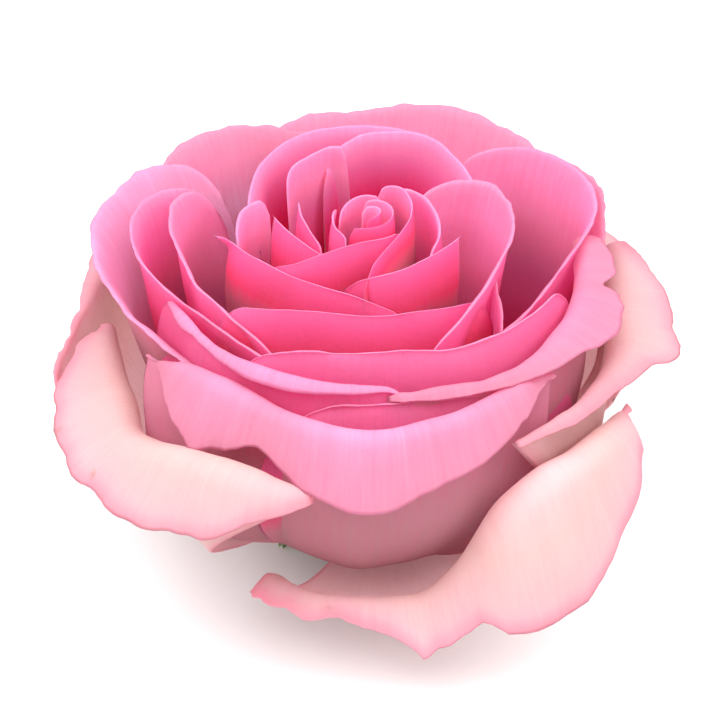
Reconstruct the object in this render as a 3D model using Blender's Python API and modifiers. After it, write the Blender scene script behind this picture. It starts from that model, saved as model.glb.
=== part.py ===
"""A garden rose bloom as picked, cut just under its hip and set down upright.

The pink petals stand in whorls round a small core and are joined in one solid. Five
large pale guard petals, each a solid of its own, are seated under them on the hip, and
five green sepals fold down from the hip to the surface the bloom rests on. The bloom's
axis is the Z axis, and the origin is the middle of the hip's cut face.

A petal is given by stations along its rim, from its left side to its right as seen from
the axis: azimuth in degrees (0 towards the front, -Y, and positive to +X), reach from
the axis, height, then the length of the lip that rolls outwards there and how far that
lip droops below level, in degrees. Lengths in the tables are in millimetres.
"""

from dataclasses import dataclass

import bmesh
import bpy
import numpy as np

MM = 0.001

# Driving dimensions, in millimetres
PETAL_THICKNESS = 0.8
SEPAL_THICKNESS = 0.9
HIP_HEIGHT = 9.6
HIP_CUT_RADIUS = 3.6
HIP_WIDEST_RADIUS = 6.0
HIP_TOP_RADIUS = 4.9
SEAT_GAP = 0.35
CORE_NECK_RADIUS = 3.2
CORE_NECK_HEIGHT = 2.6
CORE_RADIUS = 9.0
CORE_TOP = 42.0
CORE_STEPS = 10
GUARD_ROOT_REACH = 4.1
SEPAL_COUNT = 5
SEPAL_ROOT_REACH = 3.6
SEPAL_REACH = 18.0
SEPAL_WIDTH = 9.0
SEPAL_CROWN = 8.3
SEPAL_KEEL = 0.5
SEPAL_TURN = 0.0
SEPAL_GRID = (5, 8)
HIP_STEPS = 16

# Shapes of the sepal's outline and arch
SEPAL_ARCH = 2.6
SEPAL_WIDEST_AT = 0.3
SEPAL_TIP_SHARE = 0.14

# Shapes common to every petal
CORNER_WIDTH = 0.12
TUCKED_END = 0.1
LEAST_ROLL = 0.05
EARLY_SPREAD = 0.6
SPREAD_POWER = 1.6

PINK = (0.86, 0.20, 0.42)
BLUSH = (0.92, 0.72, 0.67)
GREEN = (0.17, 0.27, 0.08)


@dataclass(frozen=True)
class Petal:
    """One petal: its rim's stations and how its blade rises from the claw to them.

    belly is how far the blade spreads low down, as a share of the rim's reach. lean
    bulges it beyond the rim near the top, or flares the rim outwards where negative.
    claw is the width at the root as a share of the rim's, and fan how late the blade
    widens to the rim's full width. swing turns the root about the axis, in degrees.
    corners round the left and right corners off, as shares of the blade's length.
    """

    name: str
    root: tuple[float, float]
    lean: float
    rim: tuple[tuple[float, ...], ...]
    belly: float = 1.0
    rise: float = 0.6
    claw: float = 0.85
    fan: float = 0.0
    swing: float = 0.0
    bend: float = 2.2
    corners: tuple[float, float] = (0.25, 0.25)
    across: int = 8
    along: int = 3
    lip_rows: int = 0


BUD = (
    Petal("bud", (1.0, 34), 0.5, ((-40, 1.7, 74.2), (40, 1.6, 75), (140, 1.8, 75), (250, 1.9, 74.4)),
          across=7),
    Petal("bud_wrap", (1.5, 34), 1.2, ((-70, 4.4, 73.4), (0, 3.8, 74.2), (70, 3.9, 74.6),
          (150, 4.2, 74.8), (215, 3.8, 74.4)), across=8),
    Petal("bud_back", (1.8, 34), 2.0, ((-95, 5.4, 72.8), (-138, 6, 73.8), (-170, 6.4, 74.2),
          (-205, 6.4, 73.6)), across=6),
    Petal("bud_spiral", (2.2, 33), 2.0, ((178, 8, 73.4), (163, 9.4, 74.3), (146, 9.9, 74.5),
          (125, 8.6, 74.4), (94, 7.2, 74.2), (55, 6.8, 73.8), (23, 8.2, 73), (5, 10.7, 72),
          (-8, 14.2, 70.5)), across=10),
)

HEART = (
    Petal("front_fold", (2.0, 33), 2.5, ((-75, 18, 65.5), (-68, 17.4, 67.5), (-55, 15.3, 70),
          (-45, 12, 71.6), (-30, 8.4, 72.4), (-6, 6, 72.8), (40, 5.6, 72.8), (76, 5.6, 72.4)),
          corners=(0.1, 0.1)),
    Petal("left_point_inner", (2.0, 32), 2.5, ((-131, 7.8, 71.8), (-112, 7, 72.2), (-88, 6.4, 72.4),
          (-62, 6.1, 72.6), (-40, 5.9, 72.4)), corners=(0, 0.1), across=6, claw=0.8),
    Petal("right_ring", (2.5, 31), 2.5, ((165, 11.4, 71), (150, 12.6, 72.2), (130, 12.4, 72.6),
          (108, 12, 72.3), (88, 12.2, 72), (70, 12.4, 71.2), (54, 11.6, 69.6))),
    Petal("left_point_middle", (2.5, 31), 3.0, ((-126, 15.8, 70.6), (-115, 13.5, 70.2),
          (-104, 11.5, 69.8), (-84, 9.4, 69.2), (-70, 8.6, 67.8)), corners=(0, 0.2), across=6),
    Petal("left_point_outer", (3.0, 30), 3.0, ((-107, 18, 70.4), (-97, 15.3, 70), (-83, 12.6, 69.6),
          (-70, 10.5, 69), (-64, 8.5, 67.5)), corners=(0, 0.2), across=6),
    Petal("front_right", (3.0, 30), 1.5, ((-24, 11, 65), (-17, 11, 66.5), (-7, 12, 68.5),
          (10, 13.7, 71), (40, 12.9, 71.2), (65, 13.8, 71.2), (82, 15.8, 71.2)), corners=(0, 0),
          claw=0.8, fan=2.0),
    Petal("front_left", (3.0, 29), 3.0, ((-93.4, 25.4, 65.2, 5, -42), (-91.6, 24.6, 66.8, 2.4, -42),
          (-86, 23, 67.8, 0.8, -35), (-75, 19.8, 67.8, 0.6, -30), (-64, 17.8, 67.8, 0.6, -30),
          (-45, 15.2, 67.4, 0.6, -30), (-23, 14, 66.8, 0.6, -30), (-4, 14, 65.8, 0.6, -30),
          (12, 15.7, 64.8, 0.6, -30), (30, 17.2, 63, 0.6, -30)), corners=(0, 0.2), across=11,
          lip_rows=2),
    Petal("front_low", (3.0, 27), 5.0, ((-62, 29, 64.5), (-52, 26.5, 66), (-38, 21.5, 66),
          (-24, 19.2, 66), (-6, 18.8, 66), (12, 18.4, 65.6), (27, 19.2, 66), (48, 22, 65.5),
          (62, 23, 64)), corners=(0.1, 0.1), across=10),
    Petal("left_round", (3.0, 28), -0.5, ((-90, 23.4, 67.5), (-95, 23.9, 69), (-103, 24.3, 69.4),
          (-110, 24.3, 69.6), (-115, 22.9, 70.2), (-119, 22.3, 69.4), (-123, 21.1, 66)), across=7,
          rise=0.66, swing=12.0),
    Petal("back_fold", (3.0, 27), -1.0, ((-140, 24, 67), (-147, 26.7, 69), (-157, 28.5, 69.4),
          (-165, 29.8, 69.6), (-173, 29.5, 69.2)), across=6, rise=0.66),
    Petal("back_middle", (3.5, 25), -4.0, ((-160, 28, 65), (-168, 31, 67.5), (-176, 34, 68.6),
          (176, 35.5, 68.8), (163, 35.2, 69), (150, 31, 69), (139, 28, 68), (127, 25.5, 66)), rise=0.7),
    Petal("back_left", (3.5, 24), -5.0, ((-112, 23, 65), (-122, 26, 67.3), (-132, 29, 68.3),
          (-143, 32.5, 68.5), (-154, 36.5, 68), (-165, 40, 67), (-177, 42, 66), (170, 42, 65),
          (158, 40, 63)), rise=0.7),
)

MIDDLE = (
    Petal("right_heart", (4.0, 23), -4.5, ((150, 13.5, 67), (143, 16, 69.8), (134, 22, 70.8),
          (124, 25.3, 71), (114, 26, 71), (104, 25.8, 71), (92, 25.2, 71), (76, 24.2, 70.6),
          (60, 24.2, 69.8), (46, 25, 68.6), (32, 26.4, 66.6), (18, 27.3, 64)), across=11, along=4,
          rise=0.66),
    Petal("right_slip", (4.0, 22), 0.0, ((95, 21.8, 60), (82, 22, 63), (72, 23, 64.2), (62, 25, 64.5),
          (54, 28, 63.6), (47, 30.6, 62)), belly=1.05, across=6, along=4, rise=0.66),
    Petal("right_cup", (4.5, 21), -5.0, ((154, 32, 63), (149, 36, 65.8), (141, 43, 66.4),
          (131, 45.6, 66.6), (121, 46, 66.4), (111, 44, 65.8), (100, 39.5, 65.4), (88, 34.8, 65.2),
          (76, 32.4, 65), (65, 31, 64.2), (50, 29.5, 62.5), (36, 29, 61)), belly=1.05, across=12,
          along=4, rise=0.7),
    Petal("front_cup", (4.5, 20), 6.0, ((-42, 32.4, 62), (-34, 30.9, 63), (-23, 28.6, 64),
          (-8, 27.2, 64.4), (12, 27.4, 64.6), (28, 29.8, 64.6), (43, 31.4, 64.8), (58, 32.6, 65),
          (70, 34, 65), (80, 35.4, 64)), belly=1.08, across=11, along=4, corners=(0.1, 0.25)),
    Petal("left_cup_inner", (4.5, 20), -4.0, ((-128, 35, 63), (-121, 38, 65.6), (-112, 38.6, 66.4),
          (-100, 36.3, 66.6), (-88, 33.4, 66.4), (-74, 31.8, 65.8), (-62, 29.6, 64.4), (-48, 27.6, 62),
          (-34, 27, 60)), belly=1.05, across=10, along=4, rise=0.7),
    Petal("left_cup_outer", (4.8, 19), -5.0, ((-132, 37, 61), (-125, 40.5, 63.8), (-117, 43.8, 65),
          (-109, 45, 65.2), (-100, 43.8, 64.8), (-90, 40.6, 64), (-79, 36.6, 63.2), (-64, 32, 62.2),
          (-50, 30, 61.2), (-36, 29.2, 60), (-22, 29, 58.5)), belly=1.08, across=11, along=4, rise=0.7),
    Petal("front_rim", (5.0, 18), 6.0, ((-84, 36.4, 60.2, 0.5, 60), (-76, 35.6, 61, 2, 60),
          (-68, 34.6, 61, 3.4, 50), (-58, 33.8, 60.4, 2.4, 40), (-48, 33.2, 60.2, 3.6, 45),
          (-36, 32.8, 60.4, 5, 45), (-22, 32.2, 60.2, 4.6, 40), (-8, 31.4, 60.2, 3.4, 40),
          (4, 31.2, 60, 1.8, 40), (17, 31, 59.2, 1, 40)), belly=1.1, bend=1.4, across=12, lip_rows=2,
          along=4, corners=(0.1, 0.2)),
)

OUTER = (
    Petal("right_outer", (5.0, 17), 6.0, ((114, 40, 58.5, 3, -5), (104, 38.4, 60, 6, -5),
          (93, 37, 60.5, 9.6, 0), (82, 36.6, 60.2, 10.6, 6), (73, 36.6, 59.8, 12.6, 10),
          (63, 36.6, 59.6, 12.4, 18), (50, 36.4, 59.4, 7.4, 30), (38, 35.4, 59.4, 4.4, 40),
          (26, 33.8, 59.4, 4, 45), (14, 32.6, 59.2, 3.4, 45), (5, 31.8, 58.6, 2, 45)), belly=1.12,
          bend=3.0, corners=(0.15, 0), across=12, lip_rows=3, along=4),
    Petal("front_under", (5.0, 16), 7.0, ((-30, 37.5, 49), (-23, 36.2, 53), (-17, 34.6, 56),
          (-8, 33.2, 57.4), (6, 33, 57.8), (20, 34, 57.8), (36, 35.8, 57.2), (52, 36.8, 55.6),
          (66, 37.2, 53)), belly=1.12, across=10, along=4),
    Petal("left_outer", (5.0, 15), -10.0, ((-139, 43, 60), (-134, 47, 62.6), (-128, 50.5, 63.4),
          (-118, 52.3, 63.2), (-107, 52.2, 62.4), (-97, 50, 61), (-88, 46.4, 59.4), (-78, 42.4, 58),
          (-67, 38.6, 56.8), (-56, 36, 55.4), (-44, 35, 54)), claw=0.8, across=11, along=5, rise=0.72),
    Petal("back_left_outer", (5.0, 15), -9.0, ((-119, 50, 57), (-127, 50.6, 61), (-136, 51.6, 64),
          (-147, 50.8, 64.6), (-157, 47.4, 64.4), (-167, 43.6, 63), (-177, 42.6, 61)), claw=0.8,
          along=5, rise=0.72),
    Petal("back_outer", (5.0, 14.5), -9.0, ((-149, 49, 58), (-158, 50, 61), (-167, 52, 62.2),
          (-178, 52.4, 62.2), (172, 54.6, 62.4), (162, 55, 62.6), (151, 53, 62.2), (140, 51, 61.2),
          (129, 50.5, 58.5)), belly=1.02, claw=0.8, across=10, along=5, rise=0.72),
    Petal("back_right_outer", (5.0, 15), -8.0, ((145, 46.5, 60.5), (137, 48.8, 62.8), (128, 50, 63.2),
          (119, 48.8, 63), (111, 45.6, 61.4), (103, 43.2, 60), (94, 42, 58)), belly=1.05, claw=0.8,
          along=5, rise=0.72),
    Petal("front_reflexed", (5.0, 13.5), 6.0, ((-74, 41.4, 52, 0.6, 50), (-67, 40.4, 54, 1.8, 58),
          (-59, 38.4, 55.2, 7.6, 56), (-51, 36.4, 55.6, 13.6, 54), (-43, 35.6, 55.8, 17, 54),
          (-36, 35.4, 55.6, 15, 56), (-26, 36, 55.2, 12, 56), (-14, 37, 55, 16, 56),
          (0, 38.2, 54.5, 18.2, 56), (12, 37.4, 55, 15.6, 56), (25, 36.8, 55.4, 13.8, 56),
          (38, 36.4, 56.2, 10.4, 54), (48, 37.4, 56.8, 4, 50), (54, 39, 56.4, 1, 40)), belly=1.22,
          claw=0.3, fan=0.8, corners=(0, 0), across=16, along=6, lip_rows=4),
)

GUARDS = (
    Petal("guard_petal_left", (GUARD_ROOT_REACH, 10.9), 3.0, ((-106, 50, 43, 1.5, 0),
          (-98, 48.2, 42, 4.8, 5), (-90, 46, 40.4, 11.5, 10), (-81, 44.6, 39.2, 16.9, 14),
          (-72, 44.4, 38.8, 19, 20), (-62, 45.8, 39.2, 19, 30), (-53, 45.8, 40.8, 18.6, 40),
          (-44, 45, 43, 20.6, 50), (-35, 44.6, 45, 19.8, 56), (-27, 44.6, 45.4, 18, 58),
          (-19, 45, 45.6, 10, 58), (-12, 45.2, 45.8, 2, 50)), belly=1.12, claw=0.4, fan=2.6, swing=-12,
          bend=4.0, corners=(0.1, 0), across=15, along=6, lip_rows=5),
    Petal("guard_petal_front", (GUARD_ROOT_REACH, 10.7), -6.0, ((-29, 38, 19.2, 6.2, 0),
          (-24, 39.6, 19.8, 6.4, 0), (-14, 40.8, 20.4, 7, 2), (-2, 41, 20.2, 6.2, 10),
          (8, 41.4, 20.4, 10.6, 24), (14, 41.8, 21.8, 11.6, 34), (22, 42.4, 27.8, 14.4, 48),
          (30, 43.2, 37.4, 25.7, 64), (39, 44.8, 41.2, 28.6, 68), (48, 46.2, 41, 21.4, 64),
          (58, 46.8, 41, 14.5, 56), (66, 47.2, 40.6, 7, 50), (72, 47.4, 40.2, 3, 42),
          (78, 47.6, 39.6, 0.8, 30)), belly=1.14, claw=0.6, fan=0.4, rise=0.64, bend=3.4,
          corners=(0, 0), across=17, along=5, lip_rows=5),
    Petal("guard_petal_right", (GUARD_ROOT_REACH, 11.9), 0.5, ((120, 49.4, 51.5, 3, 0),
          (112, 48, 52.4, 5.8, 2), (104, 45.6, 51.8, 9.4, 6), (96, 44, 50.8, 13, 12),
          (88, 43.4, 50, 14.8, 16), (81, 43.6, 49.4, 15.4, 24), (75, 43.6, 49.4, 11, 34),
          (66, 43.8, 50.6, 6.6, 42), (56, 43.6, 51.2, 5, 46), (45, 43.2, 51.6, 3.6, 48),
          (34, 43, 51.6, 2, 46)), belly=1.12, claw=0.45, fan=1.4, swing=12, bend=3.6, corners=(0.1, 0),
          across=14, along=6, lip_rows=4),
    Petal("guard_petal_back_left", (GUARD_ROOT_REACH, 11.0), -2.0, ((-82, 56.2, 36.5, 0.8, 0),
          (-88, 58, 39, 1, 0), (-95, 56.4, 42, 1.2, 0), (-102, 54.4, 45, 2, 5), (-110, 53.4, 48, 4, 14),
          (-121, 53.4, 50.6, 6.5, 22), (-134, 54, 52.4, 8.5, 30), (-145, 54.4, 52.8, 9, 34),
          (-157, 52.6, 49.6, 7, 30), (-168, 48.6, 42.4, 2, 8)), belly=1.1, claw=0.45, fan=1.2,
          across=12, along=7, lip_rows=3),
    Petal("guard_petal_back_right", (GUARD_ROOT_REACH, 11.0), -2.0, ((92, 46.4, 29, 1, 0),
          (101, 50.4, 38, 4, 10), (111, 51.6, 42.6, 7, 20), (120, 52.2, 44.8, 8.5, 26),
          (135, 53, 45.4, 9, 32), (150, 54, 45.6, 11, 38), (165, 54.4, 46, 10, 38),
          (178, 53, 44, 7, 26), (188, 49, 37.6, 2, 8)), belly=1.1, claw=0.45, fan=1.2, across=12,
          along=7, lip_rows=3),
)


def through_stations(shares: np.ndarray, values: np.ndarray) -> np.ndarray:
    """Values at shares of the way along evenly numbered stations, on a smooth curve through them."""
    places = np.linspace(0.0, 1.0, len(values))
    slopes = np.gradient(values, places)
    left = np.clip(np.searchsorted(places, shares, side="right") - 1, 0, len(places) - 2)
    step = places[1] - places[0]
    t = (shares - places[left]) / step
    start = (2 * t**3 - 3 * t**2 + 1) * values[left] + (t**3 - 2 * t**2 + t) * step * slopes[left]
    end = (3 * t**2 - 2 * t**3) * values[left + 1] + (t**3 - t**2) * step * slopes[left + 1]
    return start + end


def rim_columns(petal: Petal, shares: np.ndarray) -> list[np.ndarray]:
    """Azimuth, reach, height, lip length and droop of the rim at shares across the petal."""
    stations = np.array([tuple(station) + (0.0, 0.0)[len(station) - 3:] for station in petal.rim], float)
    stations[:, 0] = np.degrees(np.unwrap(np.radians(stations[:, 0])))
    return [through_stations(shares, column) for column in stations.T]


def corner_cut(shares: np.ndarray, depth: float) -> np.ndarray:
    """How much of the blade's length a rounded corner takes off, at shares from that corner."""
    inside = np.clip(1 - shares / CORNER_WIDTH, 0, 1)
    return depth * (1 - np.sqrt(1 - inside**2))


def blade_points(petal: Petal) -> np.ndarray:
    """The petal's middle surface as a grid of points, from root to rim, in millimetres."""
    shares = np.linspace(0.0, 1.0, petal.across)
    azimuth, reach, height, lip, droop = rim_columns(petal, shares)
    full = 1 - corner_cut(shares, petal.corners[0]) - corner_cut(1 - shares, petal.corners[1])
    t = np.linspace(0.0, 1.0, petal.along + 1)[None, :] * full[:, None]
    root_reach, root_height = petal.root
    reaches = (
        np.full(petal.across, root_reach),
        root_reach + petal.belly * (reach - root_reach),
        reach + petal.lean,
        reach,
    )
    heights = (
        np.full(petal.across, root_height),
        np.full(petal.across, root_height),
        root_height + petal.rise * (height - root_height),
        height,
    )
    weights = ((1 - t) ** 3, 3 * t * (1 - t) ** 2, 3 * t**2 * (1 - t), t**3)
    out = sum(weight * value[:, None] for weight, value in zip(weights, reaches))
    up = sum(weight * value[:, None] for weight, value in zip(weights, heights))
    middle = 0.5 * (azimuth.min() + azimuth.max())
    early = 1 - (1 - np.clip(t / EARLY_SPREAD, 0, 1)) ** SPREAD_POWER
    widening = t**petal.fan if petal.fan else early
    width = petal.claw + (1 - petal.claw) * widening
    turn = middle + (azimuth[:, None] - middle) * width + petal.swing * (1 - t)
    if petal.lip_rows:
        leaving = np.arctan2(height - heights[2], reach - reaches[2])
        lip = np.maximum(lip, 0) * np.clip((full - 1 + TUCKED_END) / TUCKED_END, 0, 1)
        rolled = np.maximum(leaving + np.radians(droop), LEAST_ROLL)
        radius = np.minimum(petal.bend, 0.7 * lip / rolled + 1e-6)
        rows = []
        for row in range(1, petal.lip_rows + 1):
            run = lip * row / petal.lip_rows
            angle = np.minimum(run / radius, rolled)
            straight = run - angle * radius
            rows.append((
                out[:, -1] + straight * np.cos(leaving - angle)
                + radius * (np.sin(angle) * np.cos(leaving) + (1 - np.cos(angle)) * np.sin(leaving)),
                up[:, -1] + straight * np.sin(leaving - angle)
                + radius * (np.sin(angle) * np.sin(leaving) - (1 - np.cos(angle)) * np.cos(leaving)),
            ))
        out = np.hstack([out, np.array([row[0] for row in rows]).T])
        up = np.hstack([up, np.array([row[1] for row in rows]).T])
        turn = np.hstack([turn, np.repeat(turn[:, -1:], petal.lip_rows, axis=1)])
    turn = np.radians(turn)
    return np.stack([out * np.sin(turn), -out * np.cos(turn), up], axis=-1)


def add_material(name: str, colour: tuple[float, float, float], roughness: float) -> bpy.types.Material:
    """A plain non-metal material of one colour."""
    material = bpy.data.materials.new(name)
    material.use_nodes = True
    shader = material.node_tree.nodes["Principled BSDF"]
    shader.inputs["Base Color"].default_value = (*colour, 1.0)
    shader.inputs["Roughness"].default_value = roughness
    shader.inputs["Metallic"].default_value = 0.0
    return material


def add_object(
    name: str, mesh: bpy.types.Mesh, collection: bpy.types.Collection, material: bpy.types.Material
) -> bpy.types.Object:
    """A new object of a mesh, in a collection and with one material."""
    thing = bpy.data.objects.new(name, mesh)
    collection.objects.link(thing)
    mesh.materials.clear()
    mesh.materials.append(material)
    return thing


def made_plain(thing: bpy.types.Object) -> None:
    """Replace an object's mesh by its evaluated one, and remove its modifiers."""
    bpy.context.view_layer.update()
    seen = thing.evaluated_get(bpy.context.evaluated_depsgraph_get())
    mesh = bpy.data.meshes.new_from_object(seen)
    thing.modifiers.clear()
    thing.data = mesh


def add_sheet(
    name: str, points: np.ndarray, thickness: float, collection: bpy.types.Collection,
    material: bpy.types.Material,
) -> bpy.types.Object:
    """A blade of even thickness about a grid of points, split into triangles alike on both faces."""
    rows, columns, _ = points.shape
    sheet = bmesh.new()
    corners = [[sheet.verts.new(points[i, j] * MM) for j in range(columns)] for i in range(rows)]
    for i in range(rows - 1):
        for j in range(columns - 1):
            a, b, c, d = corners[i][j], corners[i + 1][j], corners[i + 1][j + 1], corners[i][j + 1]
            sheet.faces.new((a, b, c))
            sheet.faces.new((a, c, d))
    mesh = bpy.data.meshes.new(name)
    sheet.to_mesh(mesh)
    sheet.free()
    thing = add_object(name, mesh, collection, material)
    solidify = thing.modifiers.new("Thickness", "SOLIDIFY")
    solidify.thickness = thickness * MM
    solidify.offset = 0.0
    made_plain(thing)
    return thing


def add_turned(
    name: str, profile: tuple[tuple[float, float], ...], steps: int, collection: bpy.types.Collection,
    material: bpy.types.Material,
) -> bpy.types.Object:
    """A solid turned about the Z axis from its outline, listed top to bottom as (radius, height)."""
    mesh = bpy.data.meshes.new(name)
    points = [(radius * MM, 0.0, height * MM) for radius, height in profile]
    mesh.from_pydata(points, [(i, i + 1) for i in range(len(points) - 1)], [])
    thing = add_object(name, mesh, collection, material)
    screw = thing.modifiers.new("Turn", "SCREW")
    screw.steps = steps
    screw.render_steps = steps
    screw.use_merge_vertices = True
    screw.merge_threshold = 0.00001
    made_plain(thing)
    return thing


def join_with(body: bpy.types.Object, others: bpy.types.Collection) -> None:
    """Join every object of a collection to a body in one Boolean union, and remove the collection.

    The Manifold solver is used because the exact one leaves loose slivers where petals graze.
    """
    union = body.modifiers.new("Join", "BOOLEAN")
    union.operation = "UNION"
    union.operand_type = "COLLECTION"
    union.collection = others
    union.solver = "MANIFOLD"
    made_plain(body)
    for thing in list(others.objects):
        bpy.data.objects.remove(thing)
    bpy.data.collections.remove(others)


def fill_sealed_pockets(body: bpy.types.Object) -> None:
    """Remove the inner shells left where crossing petals close a pocket, so the body is solid there."""
    shells = bmesh.new()
    shells.from_mesh(body.data)
    unseen = set(shells.verts)
    islands = []
    while unseen:
        reached = [unseen.pop()]
        island = set(reached)
        while reached:
            for edge in reached.pop().link_edges:
                for vertex in edge.verts:
                    if vertex in unseen:
                        unseen.remove(vertex)
                        island.add(vertex)
                        reached.append(vertex)
        islands.append(island)
    outside = max(islands, key=len)
    inner = [vertex for vertex in shells.verts if vertex not in outside]
    bmesh.ops.delete(shells, geom=inner, context="VERTS")
    shells.to_mesh(body.data)
    shells.free()


def add_pink_petals(parts: bpy.types.Collection, material: bpy.types.Material) -> bpy.types.Object:
    """The bud, heart, middle and outer petals, rooted in a small core."""
    base = HIP_HEIGHT + SEAT_GAP
    core = add_turned(
        "pink_petals",
        (
            (0.0, CORE_TOP),
            (0.5 * CORE_RADIUS, 0.94 * CORE_TOP),
            (0.75 * CORE_RADIUS, 0.72 * CORE_TOP),
            (CORE_RADIUS, 0.5 * CORE_TOP),
            (0.9 * CORE_RADIUS, base + 2.2 * CORE_NECK_HEIGHT),
            (0.62 * CORE_RADIUS, base + 1.35 * CORE_NECK_HEIGHT),
            (CORE_NECK_RADIUS, base + CORE_NECK_HEIGHT),
            (CORE_NECK_RADIUS, base),
            (0.0, base),
        ),
        CORE_STEPS, parts, material,
    )
    blades = bpy.data.collections.new("pink_blades")
    bpy.context.scene.collection.children.link(blades)
    for petal in BUD + HEART + MIDDLE + OUTER:
        add_sheet(petal.name, blade_points(petal), PETAL_THICKNESS, blades, material)
    join_with(core, blades)
    fill_sealed_pockets(core)
    return core


def sepal_points(turn: float) -> np.ndarray:
    """A sepal's middle surface: it leaves the hip level, arches over and ends on the ground."""
    across = np.linspace(-1.0, 1.0, SEPAL_GRID[0])
    along = np.linspace(0.0, 1.0, SEPAL_GRID[1])
    out = SEPAL_ROOT_REACH + (SEPAL_REACH - SEPAL_ROOT_REACH) * along
    sunk = along**SEPAL_ARCH
    up = SEPAL_CROWN * (1 - sunk) + 0.5 * SEPAL_THICKNESS * sunk
    swell = np.sin(0.5 * np.pi * np.clip(along / SEPAL_WIDEST_AT, 0, 1))
    taper = np.clip((along - SEPAL_WIDEST_AT) / (1 - SEPAL_WIDEST_AT), 0, 1)
    half_width = 0.25 * SEPAL_WIDTH * (1 + swell) * (1 - (1 - SEPAL_TIP_SHARE) * taper)
    side = across[:, None] * half_width[None, :]
    keel = -SEPAL_KEEL * (1 - across**2)[:, None] * np.sin(np.pi * along)[None, :]
    height = up[None, :] + keel
    reach = np.repeat(out[None, :], len(across), axis=0)
    angle = np.radians(turn)
    x = reach * np.sin(angle) + side * np.cos(angle)
    y = -reach * np.cos(angle) + side * np.sin(angle)
    return np.stack([x, y, height], axis=-1)


def add_calyx(parts: bpy.types.Collection, material: bpy.types.Material) -> bpy.types.Object:
    """The hip, cut flat underneath, with its five sepals folded down to the ground."""
    hip = add_turned(
        "calyx",
        (
            (0.0, HIP_HEIGHT),
            (HIP_TOP_RADIUS, HIP_HEIGHT),
            (HIP_TOP_RADIUS + 0.3, 0.86 * HIP_HEIGHT),
            (HIP_WIDEST_RADIUS, 0.5 * HIP_HEIGHT),
            (0.9 * HIP_WIDEST_RADIUS, 0.2 * HIP_HEIGHT),
            (HIP_CUT_RADIUS, 0.0),
            (0.0, 0.0),
        ),
        HIP_STEPS, parts, material,
    )
    blades = bpy.data.collections.new("sepal_blades")
    bpy.context.scene.collection.children.link(blades)
    for number in range(SEPAL_COUNT):
        turn = SEPAL_TURN + number * 360.0 / SEPAL_COUNT
        sepal = add_sheet(f"sepal_{number}", sepal_points(turn), SEPAL_THICKNESS, blades, material)
        for vertex in sepal.data.vertices:
            vertex.co.z = max(vertex.co.z, 0.0)
    join_with(hip, blades)
    return hip


def main() -> None:
    """Build the bloom's nodes in an empty scene."""
    for thing in list(bpy.data.objects):
        bpy.data.objects.remove(thing)
    parts = bpy.data.collections.new("rose_bloom")
    bpy.context.scene.collection.children.link(parts)
    pink = add_material("pink_petal", PINK, 0.55)
    blush = add_material("guard_petal", BLUSH, 0.6)
    green = add_material("calyx_green", GREEN, 0.55)
    add_pink_petals(parts, pink)
    for petal in GUARDS:
        add_sheet(petal.name, blade_points(petal), PETAL_THICKNESS, parts, blush)
    add_calyx(parts, green)
    for thing in parts.objects:
        thing.data.shade_smooth()


main()
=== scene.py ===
"""A garden rose bloom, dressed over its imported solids.

Every petal, the hip and its sepals are built again here on the solids' own stations, as thin
skins with waves, rolled rims and veins, and they replace the plain solids. The bloom's axis is
the Z axis and it rests on the origin. Tables are in millimetres and degrees. Azimuth 0 faces
the front, -Y, and azimuth 90 faces +X.
"""

import logging
import math
from dataclasses import dataclass, fields, replace
from enum import Enum
from typing import ClassVar, Optional, Union

import bpy
import numpy as np
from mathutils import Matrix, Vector


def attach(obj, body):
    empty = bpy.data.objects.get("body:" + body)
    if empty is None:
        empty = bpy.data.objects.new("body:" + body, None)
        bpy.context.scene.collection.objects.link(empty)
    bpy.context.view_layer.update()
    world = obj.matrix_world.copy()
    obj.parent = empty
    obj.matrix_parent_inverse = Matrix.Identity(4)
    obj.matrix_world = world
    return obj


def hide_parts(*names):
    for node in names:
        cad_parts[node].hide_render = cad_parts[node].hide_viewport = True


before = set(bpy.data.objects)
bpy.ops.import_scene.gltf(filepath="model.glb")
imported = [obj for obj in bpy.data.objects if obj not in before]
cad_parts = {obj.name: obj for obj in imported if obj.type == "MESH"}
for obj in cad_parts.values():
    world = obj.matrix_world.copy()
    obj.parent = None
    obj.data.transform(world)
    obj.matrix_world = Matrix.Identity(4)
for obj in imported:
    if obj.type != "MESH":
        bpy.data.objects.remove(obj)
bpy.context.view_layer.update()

log = logging.getLogger("rose_bloom")

MM = 0.001
BODY = "root"
Colour = tuple[float, float, float]


class Part(Enum):
    """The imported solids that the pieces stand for, with the material slot of each."""

    PINK_PETALS = ("pink_petals", "pink_petal")
    GUARD_LEFT = ("guard_petal_left", "guard_petal")
    GUARD_FRONT = ("guard_petal_front", "guard_petal")
    GUARD_RIGHT = ("guard_petal_right", "guard_petal")
    GUARD_BACK_LEFT = ("guard_petal_back_left", "guard_petal")
    GUARD_BACK_RIGHT = ("guard_petal_back_right", "guard_petal")
    CALYX = ("calyx", "calyx_green")

    @property
    def node(self) -> str:
        """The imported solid's name."""
        return self.value[0]

    @property
    def slot(self) -> str:
        """The record's material slot."""
        return self.value[1]


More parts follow.
